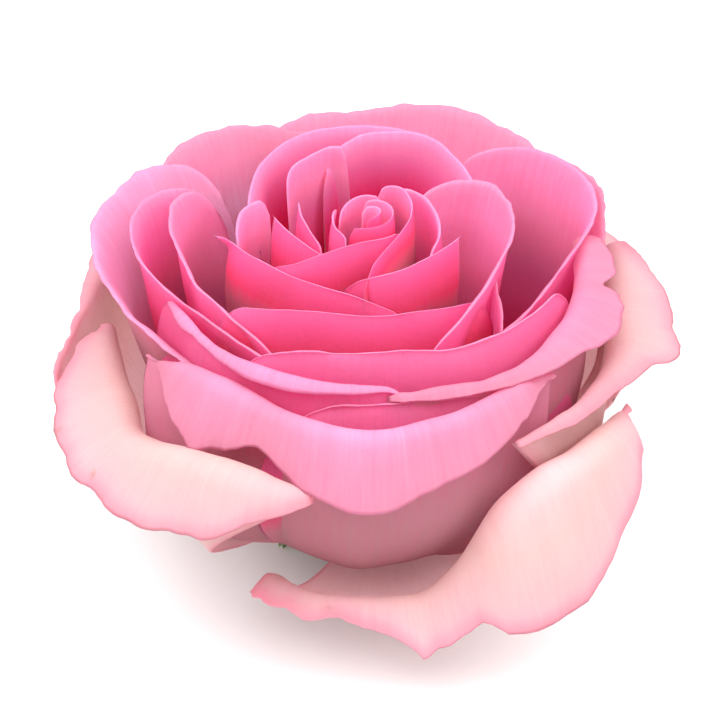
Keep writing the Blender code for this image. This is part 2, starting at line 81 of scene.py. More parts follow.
class Socket:
    """An output in a node tree that takes part in arithmetic."""

    def __init__(self, maker: "NodeMaker", output: bpy.types.NodeSocket) -> None:
        self.maker = maker
        self.output = output

    def __add__(self, other: "Value") -> "Socket":
        return self.maker.math("ADD", self, other)

    def __radd__(self, other: "Value") -> "Socket":
        return self.maker.math("ADD", other, self)

    def __sub__(self, other: "Value") -> "Socket":
        return self.maker.math("SUBTRACT", self, other)

    def __rsub__(self, other: "Value") -> "Socket":
        return self.maker.math("SUBTRACT", other, self)

    def __mul__(self, other: "Value") -> "Socket":
        return self.maker.math("MULTIPLY", self, other)

    def __rmul__(self, other: "Value") -> "Socket":
        return self.maker.math("MULTIPLY", other, self)

    def __truediv__(self, other: "Value") -> "Socket":
        return self.maker.math("DIVIDE", self, other)

    def __pow__(self, other: "Value") -> "Socket":
        return self.maker.math("POWER", self, other)


Value = Union[float, Socket]


class NodeMaker:
    """Adds nodes to one tree, so that a shape's or a finish's rule reads as a formula."""

    def __init__(self, tree: bpy.types.NodeTree) -> None:
        self.tree = tree

    def node(self, kind: str, inputs: Optional[dict] = None, **settings: object) -> bpy.types.Node:
        """Add one node.

        Args:
            kind: the node's type name.
            inputs: a value or a Socket for each input, by its name or number.
            settings: the node's own properties.

        Returns:
            The new node.
        """
        node = self.tree.nodes.new(kind)
        for name, value in settings.items():
            setattr(node, name, value)
        for name, value in (inputs or {}).items():
            if isinstance(value, Socket):
                self.tree.links.new(value.output, node.inputs[name])
            else:
                node.inputs[name].default_value = value
        return node

    def get(
        self, kind: str, inputs: Optional[dict] = None, out: Union[int, str] = 0, **settings: object
    ) -> Socket:
        """Add one node and return the output asked for."""
        return Socket(self, self.node(kind, inputs, **settings).outputs[out])

    def math(self, operation: str, *values: Value) -> Socket:
        """A Math node of that operation on the values."""
        return self.get("ShaderNodeMath", dict(enumerate(values)), operation=operation)

    def clamp(self, value: Value) -> Socket:
        """The value kept between 0 and 1."""
        return self.get("ShaderNodeClamp", {0: value})

    def least(self, one: Value, other: Value) -> Socket:
        """The smaller of two values."""
        return self.math("MINIMUM", one, other)

    def most(self, one: Value, other: Value) -> Socket:
        """The larger of two values."""
        return self.math("MAXIMUM", one, other)

    def ease(self, value: Value, start: float, end: float) -> Socket:
        """A smooth step from 0 at start to 1 at end."""
        return self.get(
            "ShaderNodeMapRange",
            {0: value, 1: start, 2: end, 3: 0.0, 4: 1.0},
            interpolation_type="SMOOTHSTEP",
        )

    def vector(self, x: Value, y: Value, z: Value) -> Socket:
        """A vector of three values."""
        return self.get("ShaderNodeCombineXYZ", {0: x, 1: y, 2: z})

    def scaled(self, vector: Socket, by: Value) -> Socket:
        """A vector times a value."""
        return self.get("ShaderNodeVectorMath", {0: vector, "Scale": by}, operation="SCALE")

    def mix(self, share: Value, first: Union[Socket, Colour], second: Union[Socket, Colour]) -> Socket:
        """Two colours mixed by a share of the second."""
        pair = {at: c if isinstance(c, Socket) else (*c, 1.0) for at, c in ((6, first), (7, second))}
        return self.get("ShaderNodeMix", {0: share, **pair}, out=2, data_type="RGBA")

    def ramp(self, level: Socket, stops: tuple[tuple[float, Colour], ...]) -> Socket:
        """The colour at a level on a row of (place, colour) stops."""
        node = self.node("ShaderNodeValToRGB", {0: level})
        elements = node.color_ramp.elements
        for number, (place, colour) in enumerate(stops):
            element = elements[number] if number < 2 else elements.new(place)
            element.position = place
            element.color = (*colour, 1.0)
        return Socket(self, node.outputs[0])

    def noise(self, place: Socket, scale: float, detail: float = 2.0) -> Socket:
        """Smooth noise about 0, from -1 to 1, at a place."""
        raw = self.get(
            "ShaderNodeTexNoise",
            {"Vector": place, "Scale": scale, "Detail": detail, "Roughness": 0.5},
            noise_dimensions="4D",
        )
        return (raw - 0.5) * 2.0

    def attribute(self, name: str) -> Socket:
        """In a shape's rule, the value kept on the points under a name."""
        return self.get("GeometryNodeInputNamedAttribute", {"Name": name}, data_type="FLOAT")

    def bumped(self, relief: Socket, strength: float, depth: float) -> Socket:
        """A surface normal over a relief, whose full depth is in metres."""
        return self.get("ShaderNodeBump", {"Strength": strength, "Distance": depth, "Height": relief})

    def drawn(self, name: str) -> Socket:
        """In a finish, the value kept on the piece's points under a name."""
        return self.get("ShaderNodeAttribute", out="Fac", attribute_name=name)

    def split(self, vector: Socket) -> tuple[Socket, ...]:
        """The three values of a vector."""
        outputs = self.node("ShaderNodeSeparateXYZ", {0: vector}).outputs
        return tuple(Socket(self, output) for output in outputs)

    def placed(self, shape: Socket, at: Socket) -> Socket:
        """A shape with its points put at places in millimetres."""
        return self.get("GeometryNodeSetPosition", {"Geometry": shape, "Position": self.scaled(at, MM)})

    def pushed(self, shape: Socket, by: Value) -> Socket:
        """A shape with its points moved along their normals, by metres."""
        offset = self.scaled(self.get("GeometryNodeInputNormal"), by)
        return self.get("GeometryNodeSetPosition", {"Geometry": shape, "Offset": offset})


@dataclass(frozen=True)
class Look:
    """How a whorl's petals are finished over their stations.

    wave is the size of the blade's slow swells, flute of the folds that run up it, ruffle of the
    quick ones at its rim and ragged of the rim's unevenness. curl is the rolled rim's length
    where the stations give none, and curl_droop how far it points below level. tone moves a
    petal along its finish's colours, lighter or deeper, and with them along the painted light
    and painted shade that those colours hold. fade is how far below the rim its colour is
    deepest, a deepening that is partly the petal's own darker base and partly painted crevice
    shade, and reverse is how far its outer face takes the finish's reverse colours, which low on
    the blade are dusky with painted shade.
    """

    thickness: float
    wave: float
    flute: float
    ruffle: float
    ragged: float
    curl: float
    curl_droop: float
    fade: float
    tone: float = 0.0
    reverse: float = 1.0


@dataclass(frozen=True)
class Petal:
    """One petal: its rim's stations and how its blade rises from the claw to them.

    A station is an azimuth, a reach from the axis and a height, then the length of the lip
    that rolls outwards there and how far it droops below level. belly, lean, rise, claw, fan,
    swing, bend and corners shape the blade as in the solids. teeth are points (negative) and
    notches (positive) of the rim: a share across, a depth and a half width as a share.
    """

    name: str
    root: tuple[float, float]
    lean: float
    rim: tuple[tuple[float, ...], ...]
    belly: float = 1.0
    rise: float = 0.6
    claw: float = 0.85
    fan: float = 0.0
    swing: float = 0.0
    bend: float = 2.2
    corners: tuple[float, float] = (0.25, 0.25)
    teeth: tuple[tuple[float, float, float], ...] = ()
    tone: float = 0.0


BUD_LOOK = Look(
    thickness=0.45, wave=0.0, flute=0.0, ruffle=0.04, ragged=0.12, curl=0.3, curl_droop=-45,
    fade=30.0, tone=-0.2,
)
HEART_LOOK = Look(
    thickness=0.5, wave=0.35, flute=0.25, ruffle=0.1, ragged=0.35, curl=0.6, curl_droop=-30,
    fade=34.0, tone=-0.1,
)
MIDDLE_LOOK = Look(
    thickness=0.5, wave=0.6, flute=0.4, ruffle=0.3, ragged=0.8, curl=0.9, curl_droop=-15,
    fade=58.0,
)
OUTER_LOOK = Look(
    thickness=0.55, wave=0.9, flute=0.5, ruffle=0.6, ragged=1.3, curl=1.3, curl_droop=-5,
    fade=60.0,
)
GUARD_LOOK = Look(
    thickness=0.6, wave=0.8, flute=0.6, ruffle=0.8, ragged=1.6, curl=1.6, curl_droop=0,
    fade=50.0, reverse=0.3,
)

BUD = (
    Petal("bud", (1.0, 34), 0.5, ((-40, 1.7, 74.2), (40, 1.6, 75), (140, 1.8, 75), (250, 1.9, 74.4))),
    Petal("bud_wrap", (1.5, 34), 1.2, ((-70, 4.4, 73.4), (0, 3.8, 74.2), (70, 3.9, 74.6),
          (150, 4.2, 74.8), (215, 3.8, 74.4))),
    Petal("bud_back", (1.8, 34), 2.0, ((-95, 5.4, 72.8), (-138, 6, 73.8), (-170, 6.4, 74.2),
          (-205, 6.4, 73.6))),
    Petal("bud_spiral", (2.2, 33), 2.0, ((178, 8, 73.4), (163, 9.4, 74.3), (146, 9.9, 74.5),
          (125, 8.6, 74.4), (94, 7.2, 74.2), (55, 6.8, 73.8), (23, 8.2, 73), (5, 10.7, 72),
          (-8, 14.2, 70.5))),
)

HEART = (
    Petal("front_fold", (2.0, 33), 2.5, ((-75, 18, 65.5), (-68, 17.4, 67.5), (-55, 15.3, 70),
          (-45, 12, 71.6), (-30, 8.4, 72.4), (-6, 6, 72.8), (40, 5.6, 72.8), (76, 5.6, 72.4)),
          corners=(0.1, 0.1)),
    Petal("left_point_inner", (2.0, 32), 2.5, ((-131, 7.8, 71.8), (-112, 7, 72.2), (-88, 6.4, 72.4),
          (-62, 6.1, 72.6), (-40, 5.9, 72.4)), corners=(0, 0.1), claw=0.8),
    Petal("right_ring", (2.5, 31), 2.5, ((165, 11.4, 71), (150, 12.6, 72.2), (130, 12.4, 72.6),
          (108, 12, 72.3), (88, 12.2, 72), (70, 12.4, 71.2), (54, 11.6, 69.6))),
    Petal("left_point_middle", (2.5, 31), 3.0, ((-126, 15.8, 70.6), (-115, 13.5, 70.2),
          (-104, 11.5, 69.8), (-84, 9.4, 69.2), (-70, 8.6, 67.8)), corners=(0, 0.2)),
    Petal("left_point_outer", (3.0, 30), 3.0, ((-107, 18, 70.4), (-97, 15.3, 70), (-83, 12.6, 69.6),
          (-70, 10.5, 69), (-64, 8.5, 67.5)), corners=(0, 0.2)),
    Petal("front_right", (3.0, 30), 1.5, ((-24, 11, 65), (-17, 11, 66.5), (-7, 12, 68.5),
          (10, 13.7, 71), (40, 12.9, 71.2), (65, 13.8, 71.2), (82, 15.8, 71.2)), corners=(0, 0),
          claw=0.8, fan=2.0),
    Petal("front_left", (3.0, 29), 3.0, ((-93.4, 25.4, 65.2, 5, -42), (-91.6, 24.6, 66.8, 2.4, -42),
          (-86, 23, 67.8, 0.8, -35), (-75, 19.8, 67.8, 0.6, -30), (-64, 17.8, 67.8, 0.6, -30),
          (-45, 15.2, 67.4, 0.6, -30), (-23, 14, 66.8, 0.6, -30), (-4, 14, 65.8, 0.6, -30),
          (12, 15.7, 64.8, 0.6, -30), (30, 17.2, 63, 0.6, -30)), corners=(0, 0.2)),
    Petal("front_low", (3.0, 27), 5.0, ((-62, 29, 64.5), (-52, 26.5, 66), (-38, 21.5, 66),
          (-24, 19.2, 66), (-6, 18.8, 66), (12, 18.4, 65.6), (27, 19.2, 66), (48, 22, 65.5),
          (62, 23, 64)), corners=(0.1, 0.1)),
    Petal("left_round", (3.0, 28), -0.5, ((-90, 23.4, 67.5), (-95, 23.9, 69), (-103, 24.3, 69.4),
          (-110, 24.3, 69.6), (-115, 22.9, 70.2), (-119, 22.3, 69.4), (-123, 21.1, 66)), rise=0.66,
          swing=12.0),
    Petal("back_fold", (3.0, 27), -1.0, ((-140, 24, 67), (-147, 26.7, 69), (-157, 28.5, 69.4),
          (-165, 29.8, 69.6), (-173, 29.5, 69.2)), rise=0.66),
    Petal("back_middle", (3.5, 25), -4.0, ((-160, 28, 65), (-168, 31, 67.5), (-176, 34, 68.6),
          (176, 35.5, 68.8), (163, 35.2, 69), (150, 31, 69), (139, 28, 68), (127, 25.5, 66)), tone=-0.14,
          rise=0.7),
    Petal("back_left", (3.5, 24), -5.0, ((-112, 23, 65), (-122, 26, 67.3), (-132, 29, 68.3),
          (-143, 32.5, 68.5), (-154, 36.5, 68), (-165, 40, 67), (-177, 42, 66), (170, 42, 65),
          (158, 40, 63)), tone=-0.14, rise=0.7),
)

MIDDLE = (
    Petal("right_heart", (4.0, 23), -4.5, ((150, 13.5, 67), (143, 16, 69.8), (134, 22, 70.8),
          (124, 25.3, 71), (114, 26, 71), (104, 25.8, 71), (92, 25.2, 71), (76, 24.2, 70.6),
          (60, 24.2, 69.8), (46, 25, 68.6), (32, 26.4, 66.6), (18, 27.3, 64)), rise=0.66),
    Petal("right_slip", (4.0, 22), 0.0, ((95, 21.8, 60), (82, 22, 63), (72, 23, 64.2), (62, 25, 64.5),
          (54, 28, 63.6), (47, 30.6, 62)), belly=1.05, rise=0.66),
    Petal("right_cup", (4.5, 21), -5.0, ((154, 32, 63), (149, 36, 65.8), (141, 43, 66.4),
          (131, 45.6, 66.6), (121, 46, 66.4), (111, 44, 65.8), (100, 39.5, 65.4), (88, 34.8, 65.2),
          (76, 32.4, 65), (65, 31, 64.2), (50, 29.5, 62.5), (36, 29, 61)), belly=1.05, rise=0.7),
    Petal("front_cup", (4.5, 20), 6.0, ((-42, 32.4, 62), (-34, 30.9, 63), (-23, 28.6, 64),
          (-8, 27.2, 64.4), (12, 27.4, 64.6), (28, 29.8, 64.6), (43, 31.4, 64.8), (58, 32.6, 65),
          (70, 34, 65), (80, 35.4, 64)), belly=1.08, corners=(0.1, 0.25)),
    Petal("left_cup_inner", (4.5, 20), -4.0, ((-128, 35, 63), (-121, 38, 65.6), (-112, 38.6, 66.4),
          (-100, 36.3, 66.6), (-88, 33.4, 66.4), (-74, 31.8, 65.8), (-62, 29.6, 64.4), (-48, 27.6, 62),
          (-34, 27, 60)), belly=1.05, rise=0.7),
    Petal("left_cup_outer", (4.8, 19), -5.0, ((-132, 37, 61), (-125, 40.5, 63.8), (-117, 43.8, 65),
          (-109, 45, 65.2), (-100, 43.8, 64.8), (-90, 40.6, 64), (-79, 36.6, 63.2), (-64, 32, 62.2),
          (-50, 30, 61.2), (-36, 29.2, 60), (-22, 29, 58.5)), belly=1.08, rise=0.7),
    Petal("front_rim", (5.0, 18), 6.0, ((-84, 36.4, 60.2, 0.5, 60), (-76, 35.6, 61, 2, 60),
          (-68, 34.6, 61, 3.4, 50), (-58, 33.8, 60.4, 2.4, 40), (-48, 33.2, 60.2, 3.6, 45),
          (-36, 32.8, 60.4, 5, 45), (-22, 32.2, 60.2, 4.6, 40), (-8, 31.4, 60.2, 3.4, 40),
          (4, 31.2, 60, 1.8, 40), (17, 31, 59.2, 1, 40)), belly=1.1, bend=1.4, corners=(0.1, 0.2)),
    Petal("front_under", (5.0, 16), 7.0, ((-30, 37.5, 49), (-23, 36.2, 53), (-17, 34.6, 56),
          (-8, 33.2, 57.4), (6, 33, 57.8), (20, 34, 57.8), (36, 35.8, 57.2), (52, 36.8, 55.6),
          (66, 37.2, 53)), belly=1.12),
)

OUTER = (
    Petal("right_outer", (5.0, 17), 6.0, ((114, 40, 58.5, 3, -5), (104, 38.4, 60, 6, -5),
          (93, 37, 60.5, 9.6, 0), (82, 36.6, 60.2, 10.6, 6), (73, 36.6, 59.8, 12.6, 10),
          (63, 36.6, 59.6, 12.4, 18), (50, 36.4, 59.4, 7.4, 30), (38, 35.4, 59.4, 4.4, 40),
          (26, 33.8, 59.4, 4, 45), (14, 32.6, 59.2, 3.4, 45), (5, 31.8, 58.6, 2, 45)), belly=1.12,
          bend=3.0, corners=(0.15, 0), teeth=((0.3, 3.5, 0.04),)),
    # left_outer's tone lifts its wall into the outer finish's pale stops: painted light on its shaded inner
    # face.
    Petal("left_outer", (5.0, 15), -10.0, ((-139, 43, 60), (-134, 47, 62.6), (-128, 50.5, 63.4),
          (-118, 52.3, 63.2), (-107, 52.2, 62.4), (-97, 50, 61), (-88, 46.4, 59.4), (-78, 42.4, 58),
          (-67, 38.6, 56.8), (-56, 36, 55.4), (-44, 35, 54)), tone=-0.2, claw=0.8, rise=0.72),
    Petal("back_left_outer", (5.0, 15), -9.0, ((-119, 50, 57), (-127, 50.6, 61), (-136, 51.6, 64),
          (-147, 50.8, 64.6), (-157, 47.4, 64.4), (-167, 43.6, 63), (-177, 42.6, 61)), claw=0.8,
          rise=0.72),
    Petal("back_outer", (5.0, 14.5), -9.0, ((-149, 49, 58), (-158, 50, 61), (-167, 52, 62.2),
          (-178, 52.4, 62.2), (172, 54.6, 62.4), (162, 55, 62.6), (151, 53, 62.2), (140, 51, 61.2),
          (129, 50.5, 58.5)), belly=1.02, claw=0.8, rise=0.72),
    Petal("back_right_outer", (5.0, 15), -8.0, ((145, 46.5, 60.5), (137, 48.8, 62.8), (128, 50, 63.2),
          (119, 48.8, 63), (111, 45.6, 61.4), (103, 43.2, 60), (94, 42, 58)), belly=1.05, claw=0.8,
          rise=0.72),
    Petal("front_reflexed", (5.0, 13.5), 6.0, ((-74, 41.4, 52, 0.6, 50), (-67, 40.4, 54, 1.8, 58),
          (-59, 38.4, 55.2, 7.6, 56), (-51, 36.4, 55.6, 13.6, 54), (-43, 35.6, 55.8, 17, 54),
          (-36, 35.4, 55.6, 15, 56), (-26, 36, 55.2, 12, 56), (-14, 37, 55, 16, 56),
          (0, 38.2, 54.5, 18.2, 56), (12, 37.4, 55, 15.6, 56), (25, 36.8, 55.4, 13.8, 56),
          (38, 36.4, 56.2, 10.4, 54), (48, 37.4, 56.8, 4, 50), (54, 39, 56.4, 1, 40)), belly=1.22,
          claw=0.3, fan=0.8, corners=(0, 0)),
)

GUARD_ROOT_REACH = 4.1
GUARDS = (
    (Part.GUARD_LEFT, Petal("guard_left", (GUARD_ROOT_REACH, 10.9), 3.0, ((-106, 50, 43, 1.5, 0),
          (-98, 48.2, 42, 4.8, 5), (-90, 46, 40.4, 11.5, 10), (-81, 44.6, 39.2, 16.9, 14),
          (-72, 44.4, 38.8, 18.8, 20), (-62, 45.6, 39.4, 19.4, 30), (-53, 45.2, 41.4, 19.6, 40),
          (-44, 44.4, 44.2, 22, 50), (-35, 44, 46, 21.2, 56), (-27, 44, 46.4, 19.6, 58),
          (-19, 44.4, 46.6, 10.6, 58), (-12, 44.8, 46.6, 2, 50)), belly=1.12, claw=0.4, fan=2.6,
          swing=-12, bend=4.0, corners=(0.1, 0))),
    (Part.GUARD_FRONT, Petal("guard_front", (GUARD_ROOT_REACH, 10.7), -6.0, ((-29, 38, 19.2, 6.2, 0),
          (-24, 39.6, 19.8, 6.4, 0), (-14, 40.8, 20.4, 7, 2), (-2, 41, 20.2, 6.2, 10),
          (8, 41.4, 20.4, 10.6, 24), (14, 41.8, 21.8, 11.6, 34), (22, 42.4, 28.6, 14.9, 48),
          (30, 43.2, 39, 26.8, 64), (39, 44.6, 44.2, 29.4, 68), (48, 45.6, 44.8, 23.8, 66),
          (58, 46.2, 44.8, 15.6, 60), (66, 46.8, 43.6, 6.6, 56), (72, 47.4, 41.6, 2.6, 48),
          (78, 47.6, 39.8, 0.8, 30)), belly=1.14, claw=0.6, fan=0.4, rise=0.64, bend=3.4,
          corners=(0, 0), teeth=((0.03, -0.8, 0.02), (0.117, 1.6, 0.03), (0.157, -0.8, 0.02),
                                 (0.195, 0.8, 0.025), (0.335, -1.6, 0.03), (0.46, 1.0, 0.03),
                                 (0.495, -0.8, 0.02)))),
    (Part.GUARD_RIGHT, Petal("guard_right", (GUARD_ROOT_REACH, 11.9), 0.5, ((120, 49.4, 51.5, 3, 0),
          (112, 48, 52.4, 5.8, 2), (104, 45.6, 51.8, 9.4, 6), (96, 44, 50.8, 13, 12),
          (88, 43.4, 50, 14.8, 16), (81, 43.6, 49.4, 15.4, 24), (75, 43.6, 49.4, 11, 34),
          (66, 43.8, 50.6, 6.6, 42), (56, 43.6, 51.2, 5, 46), (45, 43.2, 51.6, 3.6, 48),
          (34, 43, 51.6, 2, 46)), belly=1.12, claw=0.45, fan=1.4, swing=12, bend=3.6, corners=(0.1, 0))),
    (Part.GUARD_BACK_LEFT, Petal("guard_back_left", (GUARD_ROOT_REACH, 11.0), -2.0,
          ((-82, 56.2, 36.5, 0.8, 0), (-88, 58, 39, 1, 0), (-95, 56.4, 42, 1.2, 0),
          (-102, 54.4, 45, 2, 5), (-110, 53.4, 48, 4, 14), (-121, 53.4, 50.6, 6.5, 22),
          (-134, 54, 52.4, 8.5, 30), (-145, 54.4, 52.8, 9, 34), (-157, 52.6, 49.6, 7, 30),
          (-168, 48.6, 42.4, 2, 8)), belly=1.1, claw=0.45, fan=1.2)),
    (Part.GUARD_BACK_RIGHT, Petal("guard_back_right", (GUARD_ROOT_REACH, 11.0), -2.0,
          ((92, 46.4, 29, 1, 0), (101, 50.4, 38, 4, 10), (111, 51.6, 42.6, 7, 20),
          (120, 52.2, 44.8, 8.5, 26), (135, 53, 45.4, 9, 32), (150, 54, 45.6, 11, 38),
          (165, 54.4, 46, 10, 38), (178, 53, 44, 7, 26), (188, 49, 37.6, 2, 8)), belly=1.1, claw=0.45,
          fan=1.2)),
)


def through_stations(shares: np.ndarray, values: np.ndarray) -> np.ndarray:
    """Values on a smooth curve through evenly numbered stations.

    Args:
        shares: places from 0, the first station, to 1, the last.
        values: one value for each station.

    Returns:
        One value for each share.
    """
    places = np.linspace(0.0, 1.0, len(values))
    slopes = np.gradient(values, places)
    left = np.clip(np.searchsorted(places, shares, side="right") - 1, 0, len(places) - 2)
    step = places[1] - places[0]
    t = (shares - places[left]) / step
    start = (2 * t**3 - 3 * t**2 + 1) * values[left] + (t**3 - 2 * t**2 + t) * step * slopes[left]
    end = (3 * t**2 - 2 * t**3) * values[left + 1] + (t**3 - t**2) * step * slopes[left + 1]
    return start + end


@dataclass
class RimLine:
    """A petal's rim as a row of points, each with the values that its column of the blade needs."""

    petal: Petal
    look: Look
    column_step: float = 0.95
    row_step: float = 1.1
    lip_row_step: float = 0.88

    MEASURED_AT: ClassVar[int] = 64
    LEAST_COLUMNS: ClassVar[int] = 14
    LEAST_ROWS: ClassVar[int] = 12
    LEAST_LIP_ROWS: ClassVar[int] = 4
    BLADE_BOW: ClassVar[float] = 1.12
    TOOTH_POINT: ClassVar[float] = 1.4

    def __post_init__(self) -> None:
        curl = (self.look.curl, self.look.curl_droop)
        stations = np.array([tuple(s) + curl[len(s) - 3:] for s in self.petal.rim], float)
        stations[:, 0] = np.degrees(np.unwrap(np.radians(stations[:, 0])))
        fine = self.values(stations, self.MEASURED_AT)
        turns = np.radians(np.diff(fine["azimuth"])) * fine["reach"][1:]
        self.width = float(np.hypot(turns, np.diff(fine["reach"])).sum())
        blade = np.hypot(fine["reach"] - self.petal.root[0], fine["height"] - self.petal.root[1])
        self.blade_length = float(self.BLADE_BOW * blade.mean())
        self.lip_length = float(fine["lip"].max())
        self.columns = max(self.LEAST_COLUMNS, round(self.width / self.column_step))
        self.blade_rows = max(self.LEAST_ROWS, round(self.blade_length / self.row_step))
        self.lip_rows = max(self.LEAST_LIP_ROWS, round(self.lip_length / self.lip_row_step))
        self.points = self.values(stations, self.columns)

    def values(self, stations: np.ndarray, count: int) -> dict[str, np.ndarray]:
        """The rim's values at evenly spaced shares, by the name of each attribute."""
        shares = np.linspace(0.0, 1.0, count)
        names = ("azimuth", "reach", "height", "lip", "droop")
        found = {name: through_stations(shares, column) for name, column in zip(names, stations.T)}
        cut = np.zeros(count)
        for share, depth, half_width in self.petal.teeth:
            nearness = np.clip(1 - np.abs(shares - share) / half_width, 0, 1)
            cut += depth * nearness ** self.TOOTH_POINT
        found["cut"] = cut
        found["lip"] = np.maximum(found["lip"], 0.0)
        return found

    def mesh(self) -> bpy.types.Mesh:
        """The row of points as a mesh without faces."""
        mesh = bpy.data.meshes.new(f"{self.petal.name}_rim")
        mesh.from_pydata([(i * MM, 0.0, 0.0) for i in range(self.columns)], [], [])
        for name, column in self.points.items():
            mesh.attributes.new(name, "FLOAT", "POINT").data.foreach_set("value", column.astype(np.float32))
        return mesh


def linked(name: str, data: bpy.types.ID) -> bpy.types.Object:
    """A new object of that data, in the scene."""
    thing = bpy.data.objects.new(name, data)
    bpy.context.scene.collection.objects.link(thing)
    return thing


def open_rule(
    name: str, shapes: tuple[str, ...], counts: tuple[str, ...], numbers: tuple[str, ...]
) -> tuple[bpy.types.NodeTree, NodeMaker, dict[str, Socket]]:
    """Start a Geometry Nodes rule with its named inputs.

    Args:
        name: the tree's name.
        shapes: the names of its geometry inputs.
        counts: the names of its whole number inputs.
        numbers: the names of its other number inputs.

    Returns:
        The tree, a maker for its nodes and its inputs by name.
    """
    tree = bpy.data.node_groups.new(name, "GeometryNodeTree")
    kinds = (("Geometry", shapes), ("Int", counts), ("Float", numbers), ("Material", ("Finish",)))
    for kind, titles in kinds:
        for title in titles:
            tree.interface.new_socket(title, in_out="INPUT", socket_type=f"NodeSocket{kind}")
    tree.interface.new_socket("Shape", in_out="OUTPUT", socket_type="NodeSocketGeometry")
    make = NodeMaker(tree)
    entry = tree.nodes.new("NodeGroupInput")
    return tree, make, {socket.name: Socket(make, socket) for socket in entry.outputs if socket.name}


def close_rule(make: NodeMaker, shape: Socket, finish: Socket) -> None:
    """End a rule with its material set on the shape."""
    shape = make.get("GeometryNodeSetMaterial", {"Geometry": shape, "Material": finish})
    leave = make.tree.nodes.new("NodeGroupOutput")
    make.tree.links.new(shape.output, leave.inputs[0])


def welded(make: NodeMaker, faces: list[Socket], distance: float) -> Socket:
    """Two sheets joined and welded where their edges meet."""
    both = make.node("GeometryNodeJoinGeometry")
    for face in faces:
        make.tree.links.new(face.output, both.inputs[0])
    joined = Socket(make, both.outputs[0])
    return make.get("GeometryNodeMergeByDistance", {"Geometry": joined, "Distance": distance})


